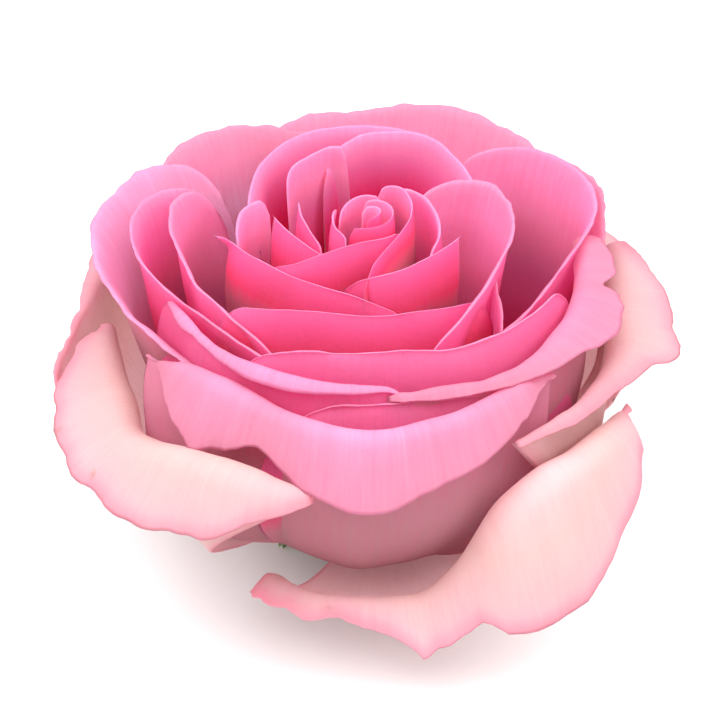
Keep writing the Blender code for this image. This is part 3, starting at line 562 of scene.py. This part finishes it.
class PetalRule:
    """The Geometry Nodes rule that grows a rim's row of points into a petal's blade and lip."""

    CORNER_WIDTH = 0.12
    TUCKED_END = 0.1
    LEAST_ROLL = 0.05
    LEAST_BEND = 0.0001
    ROLLED_SHARE = 0.7
    UNEVEN_ROLL = 0.6
    UNEVEN_LIP = 1.6
    RAGGED_SCALE = 0.28
    ROLL_SCALE = 0.12
    ROLL_SEED = 7.0
    ROW_EASE = 0.85
    FULL_WIDTH = 0.6
    WIDENING = 1.6
    NO_FAN = 0.01
    SWELL_SCALE = 62.0
    SWELL_START = 0.25
    FLUTE_SCALE = 0.1
    FLUTE_START = 0.35
    FLUTE_RUN = 0.12
    FLUTE_SEED = 3.0
    FULL_SWELL = 0.95
    FRILL_SCALE = 0.17
    FRILL_WIDTH = 9.0
    FRILL_RUN = 0.6
    THINNED_EDGE = 2.4
    WELD = 0.002
    NUMBERS = (
        "Root Reach", "Root Height", "Lean", "Belly", "Rise", "Claw", "Fan", "Swing", "Middle", "Bend",
        "Left Corner", "Right Corner", "Thickness", "Wave", "Flute", "Ruffle", "Ragged", "Width",
        "Blade Length", "Lip Start", "Seed", "Tone", "Fade", "Outer Side", "Reverse",
    )

    def __init__(self) -> None:
        self.tree, self.make, self.inputs = open_rule("Petal", ("Rim",), ("Columns", "Rows"), self.NUMBERS)
        self.build()

    def column_value(self, name: str, column: Socket) -> Socket:
        """The rim's attribute of that name at each grid point's column."""
        sampled = {"Geometry": self.inputs["Rim"], "Value": self.make.attribute(name), "Index": column}
        return self.make.get("GeometryNodeSampleIndex", sampled)

    def corner_cut(self, share: Socket, depth: Socket) -> Socket:
        """How much of the blade's length a rounded corner takes off."""
        inside = self.make.clamp(1.0 - share / self.CORNER_WIDTH)
        return depth * (1.0 - self.make.math("SQRT", 1.0 - inside * inside))

    def spread(self, t: Socket) -> Socket:
        """The share of its full width that the blade has at a share t of its length."""
        make, given = self.make, self.inputs
        early = 1.0 - (1.0 - make.clamp(t / self.FULL_WIDTH)) ** self.WIDENING
        by_fan = t ** make.most(given["Fan"], self.NO_FAN)
        plain = make.math("LESS_THAN", given["Fan"], self.NO_FAN)
        widening = plain * early + (1.0 - plain) * by_fan
        return given["Claw"] + (1.0 - given["Claw"]) * widening

    def stored(self, geometry: Socket, name: str, value: Value) -> Socket:
        """The geometry with a value kept on its points under a name."""
        return self.make.get(
            "GeometryNodeStoreNamedAttribute", {"Geometry": geometry, "Name": name, "Value": value},
            data_type="FLOAT", domain="POINT",
        )

    def build(self) -> None:
        """Lay out the rule: a grid, its place on the blade and lip, then its swells."""
        make, given = self.make, self.inputs
        grid = make.get("GeometryNodeMeshGrid", {
            "Size X": 1.0, "Size Y": 1.0, "Vertices X": given["Columns"], "Vertices Y": given["Rows"],
        })
        x, y, _ = make.split(make.get("GeometryNodeInputPosition"))
        share, row = x + 0.5, y + 0.5
        column = make.math("ROUND", share * (given["Columns"] - 1.0))
        names = ("azimuth", "reach", "height", "lip", "droop", "cut")
        azimuth, reach, height, lip, droop, cut = (self.column_value(name, column) for name in names)
        across = share * given["Width"]
        ragged = make.noise(make.vector(across, given["Seed"], 0.0), self.RAGGED_SCALE, 3.0)
        uneven = ragged * given["Ragged"] + cut
        roll_place = make.vector(across, given["Seed"] + self.ROLL_SEED, 0.0)
        uneven_roll = make.noise(roll_place, self.ROLL_SCALE, 1.0)
        lip = lip + self.UNEVEN_ROLL * make.least(lip, self.UNEVEN_LIP) * uneven_roll
        too_short = make.most(uneven - lip, 0.0)
        lip = make.most(lip - uneven, 0.0)
        corners = self.corner_cut(share, given["Left Corner"])
        corners = corners + self.corner_cut(1.0 - share, given["Right Corner"])
        full = 1.0 - corners - too_short / given["Blade Length"]
        start = given["Lip Start"]
        t = make.least(row / start, 1.0) ** self.ROW_EASE * full
        lip = lip * make.clamp((self.TUCKED_END - corners) / self.TUCKED_END)
        run = lip * make.most((row - start) / (1.0 - start), 0.0)

        turn = given["Middle"] + (azimuth - given["Middle"]) * self.spread(t) + given["Swing"] * (1.0 - t)
        turn = make.math("RADIANS", turn)
        out, up = self.profile(t, (reach, height), (lip, run, droop))
        point = make.vector(out * make.math("SINE", turn), -1.0 * (out * make.math("COSINE", turn)), up)
        along = t * given["Blade Length"] + run
        blade_end = given["Blade Length"] + lip
        side = make.least(share, 1.0 - share) * given["Width"]
        kept = {
            "across": across, "along": along, "depth": along / blade_end,
            "level": 1.0 - (blade_end - along) / given["Fade"],
            "edge": make.least(full * given["Blade Length"] + lip - along, side), "tone": given["Tone"],
        }
        shape = grid
        for name, value in kept.items():
            shape = self.stored(shape, name, value)
        shape = make.placed(shape, point)
        shape = make.pushed(shape, self.swells() * MM)
        close_rule(make, self.thickened(shape), given["Finish"])

    def profile(self, t: Socket, rim: tuple[Socket, ...], lip: tuple[Socket, ...]) -> tuple[Socket, ...]:
        """Where a point of the blade or lip lies in its own upright plane.

        Args:
            t: the share of the blade's length below the point.
            rim: the rim's reach and height over the point.
            lip: the lip's length, how far along it the point lies, and its droop.

        Returns:
            The point's reach and height.
        """
        make, given = self.make, self.inputs
        reach, height = rim
        length, run, droop = lip
        root_reach, root_height = given["Root Reach"], given["Root Height"]
        q = 1.0 - t
        weights = (q * q * q, 3.0 * t * q * q, 3.0 * t * t * q, t * t * t)
        shoulder_reach = reach + given["Lean"]
        shoulder_height = root_height + given["Rise"] * (height - root_height)
        belly_reach = root_reach + given["Belly"] * (reach - root_reach)
        out = weights[0] * root_reach + weights[1] * belly_reach
        out = out + weights[2] * shoulder_reach + weights[3] * reach
        up = (weights[0] + weights[1]) * root_height + weights[2] * shoulder_height + weights[3] * height

        leaving = make.math("ARCTAN2", height - shoulder_height, reach - shoulder_reach)
        rolled = make.most(leaving + make.math("RADIANS", droop), self.LEAST_ROLL)
        radius = make.least(given["Bend"], self.ROLLED_SHARE * length / rolled + self.LEAST_BEND)
        angle = make.least(run / radius, rolled)
        straight = run - angle * radius
        sine, cosine = make.math("SINE", leaving), make.math("COSINE", leaving)
        bow, rest = make.math("SINE", angle), 1.0 - make.math("COSINE", angle)
        out = out + radius * (bow * cosine + rest * sine) + straight * make.math("COSINE", leaving - angle)
        up = up + radius * (bow * sine - rest * cosine) + straight * make.math("SINE", leaving - angle)
        return out, up

    def swells(self) -> Socket:
        """How far the blade's swells, flutes and ruffles push it out, in millimetres."""
        make, given = self.make, self.inputs
        depth, across, along, edge = map(make.attribute, ("depth", "across", "along", "edge"))
        swell = make.noise(make.get("GeometryNodeInputPosition"), self.SWELL_SCALE, 1.0) * given["Wave"]
        swell = swell * make.ease(depth, self.SWELL_START, self.FULL_SWELL)
        fold = make.vector(across, self.FLUTE_RUN * along, given["Seed"] + self.FLUTE_SEED)
        flute = make.noise(fold, self.FLUTE_SCALE, 1.0) * given["Flute"]
        flute = flute * make.ease(depth, self.FLUTE_START, self.FULL_SWELL)
        strip = make.vector(across, self.FRILL_RUN * along, given["Seed"])
        frill = make.noise(strip, self.FRILL_SCALE, 1.5) * given["Ruffle"]
        return swell + flute + frill * make.ease(edge, self.FRILL_WIDTH, 0.0)

    def thickened(self, sheet: Socket) -> Socket:
        """The sheet as a closed skin that thins to its edges, with its outer face marked."""
        make, given = self.make, self.inputs
        edge, along = make.attribute("edge"), make.attribute("along")
        nearest = make.clamp(make.least(edge, along) / self.THINNED_EDGE)
        half = 0.5 * MM * given["Thickness"] * make.math("SQRT", nearest)
        faces = []
        for side in (1.0, -1.0):
            outer = 0.5 + 0.5 * side * given["Outer Side"]
            face = make.pushed(self.stored(sheet, "outside", outer * given["Reverse"]), side * half)
            faces.append(face if side > 0 else make.get("GeometryNodeFlipFaces", {"Mesh": face}))
        return welded(make, faces, self.WELD * MM)


def grown(
    name: str, start: bpy.types.Mesh, tree: bpy.types.NodeTree, values: dict[str, object]
) -> bpy.types.Object:
    """Grow a piece by a Geometry Nodes rule and keep the result as its plain mesh.

    Args:
        name: the piece's name.
        start: the mesh that the rule starts from.
        tree: the rule.
        values: the rule's inputs by name, which are set by each socket's identifier.

    Returns:
        The piece, smooth and without modifiers.
    """
    piece = linked(name, start)
    modifier = piece.modifiers.new(name, "NODES")
    modifier.node_group = tree
    for item in tree.interface.items_tree:
        if item.name in values and item.in_out == "INPUT":
            value = values[item.name]
            is_number = item.socket_type == "NodeSocketFloat"
            modifier[item.identifier] = float(value) if is_number else value
    bpy.context.view_layer.update()
    seen = piece.evaluated_get(bpy.context.evaluated_depsgraph_get())
    mesh = bpy.data.meshes.new_from_object(seen)
    piece.modifiers.clear()
    piece.data = mesh
    mesh.shade_smooth()
    return piece


def titled(sizes: object) -> dict[str, object]:
    """A dataclass's numbers under its fields' names, titled as a rule's inputs are."""
    values = {field.name.replace("_", " ").title(): getattr(sizes, field.name) for field in fields(sizes)}
    return {title: value for title, value in values.items() if isinstance(value, (int, float))}


def settle(thing: bpy.types.Object, part: Part) -> None:
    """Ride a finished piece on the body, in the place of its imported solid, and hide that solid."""
    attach(thing, BODY)
    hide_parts(part.node)
    log.info("%s: %d faces", thing.name, len(thing.data.polygons))


@dataclass
class PetalPiece:
    """One petal, grown by the rule on its rim."""

    petal: Petal
    look: Look
    part: Part
    seed: int

    SEED_STEP: ClassVar[float] = 3.7

    def make(self, rule: PetalRule, finish: bpy.types.Material) -> bpy.types.Object:
        """Build the petal's piece.

        Args:
            rule: the Geometry Nodes rule.
            finish: the petal's material.

        Returns:
            The finished object.
        """
        petal, look = self.petal, self.look
        rim = RimLine(petal, look)
        azimuths = rim.points["azimuth"]
        rows = rim.blade_rows + rim.lip_rows
        piece = grown(f"petal_{petal.name}", rim.mesh(), rule.tree, {
            **titled(petal), **titled(look), "Finish": finish, "Columns": rim.columns, "Rows": rows + 1,
            "Root Reach": petal.root[0], "Root Height": petal.root[1],
            "Left Corner": petal.corners[0], "Right Corner": petal.corners[1],
            "Middle": 0.5 * (azimuths.min() + azimuths.max()), "Width": rim.width,
            "Blade Length": rim.blade_length, "Lip Start": rim.blade_rows / rows,
            "Seed": self.SEED_STEP * self.seed, "Tone": look.tone + petal.tone,
            "Outer Side": 1.0 if azimuths[-1] > azimuths[0] else -1.0,
        })
        settle(piece, self.part)
        return piece


@dataclass(frozen=True)
class PetalFinish:
    """A petal's skin: colours from root to rim, a paler reverse, veins, a light margin and spots.

    stops are (level, colour) from deep below the rim to the rim, reverse the outer face's
    colours in the same way; besides the petal's own colours, both hold painted light and
    painted shade, as said at each finish. vein is how strongly the veins take vein_colour,
    through the share of light that passes the petal and blemish how much of the rim is stained.
    """

    name: str
    stops: tuple[tuple[float, Colour], ...]
    reverse: tuple[tuple[float, Colour], ...]
    margin: Colour
    margin_width: float
    margin_share: float
    vein_colour: Colour
    vein: float
    through: float
    blemish: float = 0.0
    stain: Colour = (0.30, 0.20, 0.08)
    roughness: float = 0.6
    specular: float = 0.1
    sheen: float = 0.04
    bump: float = 0.3
    relief_depth: float = 0.0006

    PATCH_SCALE: ClassVar[float] = 70.0
    SPOT_SCALE: ClassVar[float] = 150.0
    PORE_SCALE: ClassVar[float] = 900.0
    VEIN_RUN: ClassVar[float] = 0.07
    FINE_VEINS: ClassVar[float] = 2.6
    FINE_VEIN_RUN: ClassVar[float] = 0.12
    PATCH_TONE: ClassVar[float] = 0.06
    VEIN_TONE: ClassVar[float] = 0.04
    SPOTTED: ClassVar[tuple[float, float]] = (0.3, 0.62)
    SPOT_BAND: ClassVar[tuple[float, float]] = (7.0, 0.5)

    def make(self) -> bpy.types.Material:
        """The finish as a material that reads the petal's own attributes."""
        material = bpy.data.materials.new(self.name)
        material.use_nodes = True
        tree = material.node_tree
        tree.nodes.clear()
        make = NodeMaker(tree)
        names = ("level", "edge", "across", "along", "tone", "outside")
        level, edge, across, along, tone, outside = map(make.drawn, names)
        place = make.get("ShaderNodeTexCoord", out="Object")
        patch = make.noise(place, self.PATCH_SCALE, 3.0)
        strip = make.vector(across, along * self.VEIN_RUN, tone)
        fine_strip = make.vector(across * self.FINE_VEINS, along * self.FINE_VEIN_RUN, tone)
        veins = 0.6 * make.noise(strip, 1.0, 2.0) + 0.4 * make.noise(fine_strip, 1.0, 2.0)
        level = level + tone + self.PATCH_TONE * patch + self.VEIN_TONE * veins
        # The ramps give the petal's own colours by level below the rim, with the painted light and painted
        # shade that their stops hold.
        colour = make.mix(outside, make.ramp(level, self.stops), make.ramp(level, self.reverse))
        colour = make.mix(make.clamp(self.vein * (0.4 + 1.2 * veins)), colour, self.vein_colour)
        light = make.ease(edge, self.margin_width, 0.0) * (0.6 + 0.5 * patch) * self.margin_share
        colour = make.mix(make.clamp(light), colour, self.margin)
        if self.blemish:
            spots = make.ease(make.noise(place, self.SPOT_SCALE, 3.0), *self.SPOTTED)
            spots = spots * make.ease(edge, *self.SPOT_BAND)
            colour = make.mix(make.clamp(spots * self.blemish), colour, self.stain)
        relief = 0.7 * veins + 0.3 * make.noise(place, self.PORE_SCALE, 2.0)
        normal = make.bumped(relief, self.bump, self.relief_depth)
        skin = make.node("ShaderNodeBsdfPrincipled", {
            "Base Color": colour, "Roughness": self.roughness, "Specular IOR Level": self.specular,
            "Sheen Weight": self.sheen, "Sheen Roughness": 0.5, "Normal": normal,
        })
        glow = make.node("ShaderNodeBsdfTranslucent", {"Color": colour, "Normal": normal})
        both = make.node("ShaderNodeMixShader", {0: self.through})
        tree.links.new(skin.outputs[0], both.inputs[1])
        tree.links.new(glow.outputs[0], both.inputs[2])
        leave = make.node("ShaderNodeOutputMaterial")
        tree.links.new(both.outputs[0], leave.inputs["Surface"])
        return material


# Pink stops: the crimson base is partly the petal's own deeper base and partly painted shade in the crevices;
# the stop at 0.72, paler than the rim, is painted light on the shaded inner walls. The reverse's dusky stops
# below 0.55 are painted shade on the cup's underside.
PINK_SKIN = PetalFinish(
    "pink_petal_skin",
    stops=((0.1, (1.0, 0.0, 0.06)), (0.32, (1.0, 0.05, 0.26)), (0.5, (1.0, 0.24, 0.56)),
           (0.72, (1.0, 0.56, 0.88)), (0.9, (0.98, 0.54, 0.82)), (1.0, (0.92, 0.46, 0.68))),
    reverse=((0.0, (0.56, 0.33, 0.36)), (0.55, (0.62, 0.33, 0.38)), (0.68, (0.90, 0.14, 0.28)),
             (0.8, (0.92, 0.20, 0.44)), (1.0, (0.90, 0.30, 0.54))),
    margin=(0.90, 0.52, 0.70), margin_width=0.8, margin_share=0.3, vein_colour=(0.90, 0.08, 0.32), vein=0.2,
    through=0.62,
)
# Outer stops: the crimson base is partly the petal's own deeper base and partly painted crevice shade; the
# stops at 0.45 to 0.65, far paler than the rim, are painted light on the shaded inner walls. The reverse's
# dusky low stops are painted shade on the cup's underside.
OUTER_SKIN = replace(
    PINK_SKIN,
    name="outer_petal_skin",
    stops=((0.0, (1.0, 0.04, 0.20)), (0.28, (1.0, 0.30, 0.62)), (0.45, (1.0, 0.66, 0.98)),
           (0.65, (1.0, 0.70, 0.98)), (0.78, (0.98, 0.52, 0.76)), (0.9, (0.90, 0.44, 0.62)),
           (1.0, (0.84, 0.42, 0.56))),
    reverse=((0.0, (0.56, 0.33, 0.34)), (0.5, (0.66, 0.37, 0.41)), (0.8, (0.76, 0.35, 0.46)),
             (1.0, (0.84, 0.40, 0.54))),
)
# Guard stops: the pale stops at 0.25 to 0.5, paler than the blade above them, are painted light on the trough
# that the cup shades.
BLUSH_SKIN = PetalFinish(
    "guard_petal_skin",
    stops=((0.25, (0.98, 0.76, 0.80)), (0.5, (0.92, 0.68, 0.69)), (0.72, (0.81, 0.61, 0.59)),
           (0.9, (0.80, 0.57, 0.59)), (1.0, (0.82, 0.49, 0.57))),
    reverse=((0.2, (0.60, 0.50, 0.36)), (0.6, (0.78, 0.50, 0.45)), (1.0, (0.80, 0.46, 0.47))),
    margin=(0.82, 0.31, 0.40), margin_width=3.6, margin_share=0.9, vein_colour=(0.84, 0.36, 0.36), vein=0.2,
    through=0.5, blemish=0.7,
)


@dataclass(frozen=True)
class PlantFinish:
    """A green plant skin with slow patches, fine pores and a paler bloom."""

    name: str
    base: Colour
    patch: Colour
    cut: Colour
    cut_radius: float
    roughness: float
    specular: float = 0.35
    bump: float = 0.3
    relief_depth: float = 0.0004
    cut_depth: float = 0.0002

    PATCH_SCALE: ClassVar[float] = 260.0
    PORE_SCALE: ClassVar[float] = 1400.0
    RINGS: ClassVar[float] = 5.0

    def make(self) -> bpy.types.Material:
        """The finish as a material on object coordinates, paler on the cut underneath."""
        material = bpy.data.materials.new(self.name)
        material.use_nodes = True
        tree = material.node_tree
        make = NodeMaker(tree)
        skin = tree.nodes["Principled BSDF"]
        place = make.get("ShaderNodeTexCoord", out="Object")
        streak = make.get("ShaderNodeMapping", {"Vector": place, "Scale": (1.0, 1.0, 0.25)})
        patches = make.clamp(0.5 + make.noise(streak, self.PATCH_SCALE, 3.0))
        colour = make.mix(patches, self.base, self.patch)
        x, y, z = make.split(place)
        radius = make.math("SQRT", x * x + y * y) / MM
        rings = 0.75 + 0.25 * make.math("SINE", radius * self.RINGS)
        on_cut = make.ease(z, self.cut_depth, 0.0) * make.ease(radius, self.cut_radius, 0.8 * self.cut_radius)
        colour = make.mix(on_cut * rings, colour, self.cut)
        tree.links.new(colour.output, skin.inputs["Base Color"])
        normal = make.bumped(make.noise(place, self.PORE_SCALE, 2.0), self.bump, self.relief_depth)
        tree.links.new(normal.output, skin.inputs["Normal"])
        skin.inputs["Roughness"].default_value = self.roughness
        skin.inputs["Specular IOR Level"].default_value = self.specular
        return material


CALYX_SKIN = PlantFinish(
    "calyx_skin", base=(0.10, 0.19, 0.045), patch=(0.25, 0.33, 0.13), cut=(0.48, 0.50, 0.26), cut_radius=3.5,
    roughness=0.5,
)


def turned(
    name: str, profile: tuple[tuple[float, float], ...], steps: int, finish: bpy.types.Material
) -> bpy.types.Object:
    """A smooth closed piece turned about the Z axis.

    Args:
        name: the piece's name.
        profile: (radius, height) from top to bottom; the first and last lie on the axis.
        steps: how many sides it has.
        finish: its material.

    Returns:
        The new piece.
    """
    rings = [row for row in profile if row[0] > 0]
    turns = np.linspace(0.0, 2.0 * math.pi, steps, endpoint=False)
    points = [(0.0, 0.0, profile[0][1] * MM)]
    for radius, height in rings:
        points += [(radius * MM * math.cos(a), radius * MM * math.sin(a), height * MM) for a in turns]
    points.append((0.0, 0.0, profile[-1][1] * MM))
    last = len(points) - 1
    faces = [(0, 1 + i, 1 + (i + 1) % steps) for i in range(steps)]
    for ring in range(len(rings) - 1):
        low, high = 1 + ring * steps, 1 + (ring + 1) * steps
        faces += [(low + i, high + i, high + (i + 1) % steps, low + (i + 1) % steps) for i in range(steps)]
    faces += [(last, last - steps + (i + 1) % steps, last - steps + i) for i in range(steps)]
    mesh = bpy.data.meshes.new(name)
    mesh.from_pydata(points, [], faces)
    mesh.materials.append(finish)
    mesh.shade_smooth()
    return linked(name, mesh)


@dataclass
class Blossom:
    """All the pink petals, with the small core that they are rooted in."""

    core_profile: tuple[tuple[float, float], ...] = (
        (0.0, 42.0), (4.5, 39.5), (6.75, 30.2), (9.0, 21.0), (8.1, 15.7), (5.6, 13.5), (3.2, 12.55),
        (3.2, 9.95), (0.0, 9.95),
    )
    core_sides: int = 40

    def make(self, rule: PetalRule) -> None:
        """Build the core and the petals, from the bud outwards."""
        finish, outer_finish = PINK_SKIN.make(), OUTER_SKIN.make()
        settle(turned("petal_bases", self.core_profile, self.core_sides, finish), Part.PINK_PETALS)
        seed = 0
        whorls = ((BUD, BUD_LOOK), (HEART, HEART_LOOK), (MIDDLE, MIDDLE_LOOK), (OUTER, OUTER_LOOK))
        for petals, look in whorls:
            for petal in petals:
                seed += 1
                skin = outer_finish if look is OUTER_LOOK else finish
                PetalPiece(petal, look, Part.PINK_PETALS, seed).make(rule, skin)


@dataclass
class GuardPetals:
    """The five large pale petals under the pink ones."""

    first_seed: int = 40

    def make(self, rule: PetalRule) -> None:
        """Build each guard petal in its solid's place."""
        finish = BLUSH_SKIN.make()
        for number, (part, petal) in enumerate(GUARDS):
            PetalPiece(petal, GUARD_LOOK, part, self.first_seed + number).make(rule, finish)


@dataclass(frozen=True)
class SepalRing:
    """The sizes of the sepals and the Geometry Nodes rule that sets them round the hip."""

    count: int = 5
    root_reach: float = 3.6
    reach: float = 18.0
    width: float = 9.0
    crown: float = 8.3
    keel: float = 0.5
    arch: float = 2.6
    widest_at: float = 0.3
    tip_share: float = 0.1
    thickness: float = 0.85
    lobes: float = 0.22
    rib: float = 0.35
    seed: float = 5.0

    WELD: ClassVar[float] = 0.01
    GRID: ClassVar[tuple[int, int]] = (25, 61)
    LOBE_RUN: ClassVar[float] = 9.0
    LOBE_SIDE: ClassVar[float] = 4.0
    ROOT_EDGE: ClassVar[float] = 6.0
    TIP_EDGE: ClassVar[float] = 12.0
    THIN_EDGE: ClassVar[float] = 3.0
    RIB_NARROW: ClassVar[float] = 40.0
    RIB_INSIDE: ClassVar[float] = 0.4

    def rule(self) -> bpy.types.NodeTree:
        """The tree: one arched, lobed sepal with a rib, copied round the axis."""
        numbers = tuple(title for title in titled(self) if title != "Count")
        tree, make, given = open_rule("Sepal Ring", (), ("Count",), numbers)
        columns, rows = self.GRID
        size = {"Size X": 2.0, "Size Y": 1.0, "Vertices X": columns, "Vertices Y": rows}
        grid = make.get("GeometryNodeMeshGrid", size)
        across, y, _ = make.split(make.get("GeometryNodeInputPosition"))
        along = y + 0.5
        out = given["Root Reach"] + (given["Reach"] - given["Root Reach"]) * along
        sunk = along ** given["Arch"]
        floor_gap = 0.5 * given["Thickness"]
        up = given["Crown"] * (1.0 - sunk) + floor_gap * sunk
        swell = make.math("SINE", 0.5 * math.pi * make.clamp(along / given["Widest At"]))
        taper = make.clamp((along - given["Widest At"]) / (1.0 - given["Widest At"]))
        half_width = 0.25 * given["Width"] * (1.0 + swell) * (1.0 - (1.0 - given["Tip Share"]) * taper)
        side_of = self.LOBE_SIDE * make.math("SIGN", across)
        lobing = make.noise(make.vector(self.LOBE_RUN * along, side_of, given["Seed"]), 1.0, 2.0)
        half_width = half_width * (1.0 + given["Lobes"] * lobing * make.ease(along, 0.25, 0.5))
        trough = given["Keel"] * (1.0 - across * across) * make.math("SINE", math.pi * along)
        blade = make.placed(grid, make.vector(across * half_width, -1.0 * out, up - trough))
        nearest = make.least(1.0 - make.math("ABSOLUTE", across), along * self.ROOT_EDGE)
        nearest = make.least(nearest, (1.0 - along) * self.TIP_EDGE)
        half = floor_gap * make.math("SQRT", make.clamp(self.THIN_EDGE * nearest))
        ridge = make.math("EXPONENT", -self.RIB_NARROW * across * across)
        ridge = given["Rib"] * ridge * (1.0 - along)
        faces = []
        for side, extra in ((1.0, -self.RIB_INSIDE * ridge), (-1.0, ridge)):
            face = make.pushed(blade, (half + extra) * (side * MM))
            faces.append(make.get("GeometryNodeFlipFaces", {"Mesh": face}) if side > 0 else face)
        self.set_round(make, welded(make, faces, self.WELD * MM), given)
        return tree

    def set_round(self, make: NodeMaker, sepal: Socket, given: dict[str, Socket]) -> None:
        """Copy the sepal round the axis, keep it above the ground and end the rule."""
        ring = make.get("GeometryNodePoints", {"Count": given["Count"]})
        turn = make.get("GeometryNodeInputIndex") * (2.0 * math.pi) / given["Count"]
        shape = make.get("GeometryNodeInstanceOnPoints", {
            "Points": ring, "Instance": sepal, "Rotation": make.vector(0.0, 0.0, turn),
        })
        shape = make.get("GeometryNodeRealizeInstances", {"Geometry": shape})
        x, y, z = make.split(make.get("GeometryNodeInputPosition"))
        kept = make.vector(x, y, make.most(z, 0.0))
        shape = make.get("GeometryNodeSetPosition", {"Geometry": shape, "Position": kept})
        close_rule(make, shape, given["Finish"])

    def make(self, finish: bpy.types.Material) -> bpy.types.Object:
        """Build the ring of sepals as one piece."""
        start = bpy.data.meshes.new("sepals")
        piece = grown("sepals", start, self.rule(), {**titled(self), "Finish": finish})
        settle(piece, Part.CALYX)
        return piece


@dataclass(frozen=True)
class Calyx:
    """The hip, cut flat underneath, and its five sepals folded down to the ground."""

    profile: tuple[tuple[float, float], ...] = (
        (0.0, 9.6), (4.6, 9.6), (4.9, 9.4), (5.1, 8.8), (5.35, 7.6), (5.8, 6.0), (6.0, 4.8), (5.9, 3.4),
        (5.5, 2.1), (4.7, 0.9), (3.8, 0.15), (3.6, 0.0), (0.0, 0.0),
    )
    sides: int = 64

    def make(self) -> None:
        """Build the hip and the sepals in the calyx's place."""
        finish = CALYX_SKIN.make()
        settle(turned("hip", self.profile, self.sides, finish), Part.CALYX)
        SepalRing().make(finish)


@dataclass(frozen=True)
class Studio:
    """A pale floor, soft light from above and both sides, and the camera."""

    camera_target: tuple[float, float, float] = (-0.00185, 0.0, 0.042)
    camera_distance: float = 0.444
    camera_height: float = 38.0
    lens: float = 120.0
    floor_reach: float = 4.0
    floor_tone: float = 0.85
    sky_colour: Colour = (0.98, 0.99, 1.0)
    top_sky: float = 1.05
    side_sky: float = 0.9
    light_size: float = 0.5
    lights: tuple[tuple[str, tuple[float, float, float], float], ...] = (
        ("front", (-0.05, -0.35, 0.75), 3.0), ("left", (-0.5, -0.1, 0.6), 3.8),
        ("right", (0.5, -0.1, 0.6), 4.2),
    )

    def make(self) -> None:
        """Build the floor, the lights and the camera."""
        scene = bpy.context.scene
        scene.view_settings.view_transform = "Standard"
        self.add_floor()
        scene.world = self.sky_world()
        for name, place, power in self.lights:
            self.add_light(name, place, power)
        self.add_camera()

    def sky_world(self) -> bpy.types.World:
        """A white sky, brighter overhead than at the sides."""
        world = bpy.data.worlds.new("studio")
        world.use_nodes = True
        make = NodeMaker(world.node_tree)
        _, _, z = make.split(make.get("ShaderNodeTexCoord", out="Generated"))
        upward = make.ease(z, 0.0, 1.0)
        strength = self.side_sky + (self.top_sky - self.side_sky) * upward
        sky = world.node_tree.nodes["Background"]
        world.node_tree.links.new(strength.output, sky.inputs["Strength"])
        sky.inputs["Color"].default_value = (*self.sky_colour, 1.0)
        return world

    def add_floor(self) -> None:
        """A wide pale floor under the bloom."""
        mesh = bpy.data.meshes.new("floor")
        half = self.floor_reach
        corners = [(-half, -half, 0), (half, -half, 0), (half, half, 0), (-half, half, 0)]
        mesh.from_pydata(corners, [], [(0, 1, 2, 3)])
        paint = bpy.data.materials.new("floor_paint")
        paint.use_nodes = True
        skin = paint.node_tree.nodes["Principled BSDF"]
        skin.inputs["Base Color"].default_value = (*[self.floor_tone] * 3, 1.0)
        skin.inputs["Roughness"].default_value = 0.9
        skin.inputs["Specular IOR Level"].default_value = 0.1
        mesh.materials.append(paint)
        floor = linked("floor", mesh)

    def add_light(self, name: str, place: tuple[float, float, float], power: float) -> None:
        """A square area light turned to the bloom."""
        data = bpy.data.lights.new(name, "AREA")
        data.size = self.light_size
        data.energy = power
        light = linked(name, data)
        light.location = place
        towards = Vector(self.camera_target) - Vector(place)
        light.rotation_euler = towards.to_track_quat("-Z", "Y").to_euler()

    def add_camera(self) -> None:
        """The camera, above the front and looking down at the bloom."""
        data = bpy.data.cameras.new("camera")
        data.lens = self.lens
        data.sensor_width = 36.0
        data.clip_start = 0.01
        camera = linked("camera", data)
        tilt = math.radians(self.camera_height)
        forward = Vector((0.0, math.cos(tilt), -math.sin(tilt)))
        camera.location = Vector(self.camera_target) - self.camera_distance * forward
        camera.rotation_euler = forward.to_track_quat("-Z", "Y").to_euler()
        bpy.context.scene.camera = camera


def main() -> None:
    """Build the studio and the bloom, from the calyx up."""
    logging.basicConfig(level=logging.INFO, format="%(message)s")
    Studio().make()
    rule = PetalRule()
    Calyx().make()
    GuardPetals().make(rule)
    Blossom().make(rule)


if __name__ == "__main__":
    main()
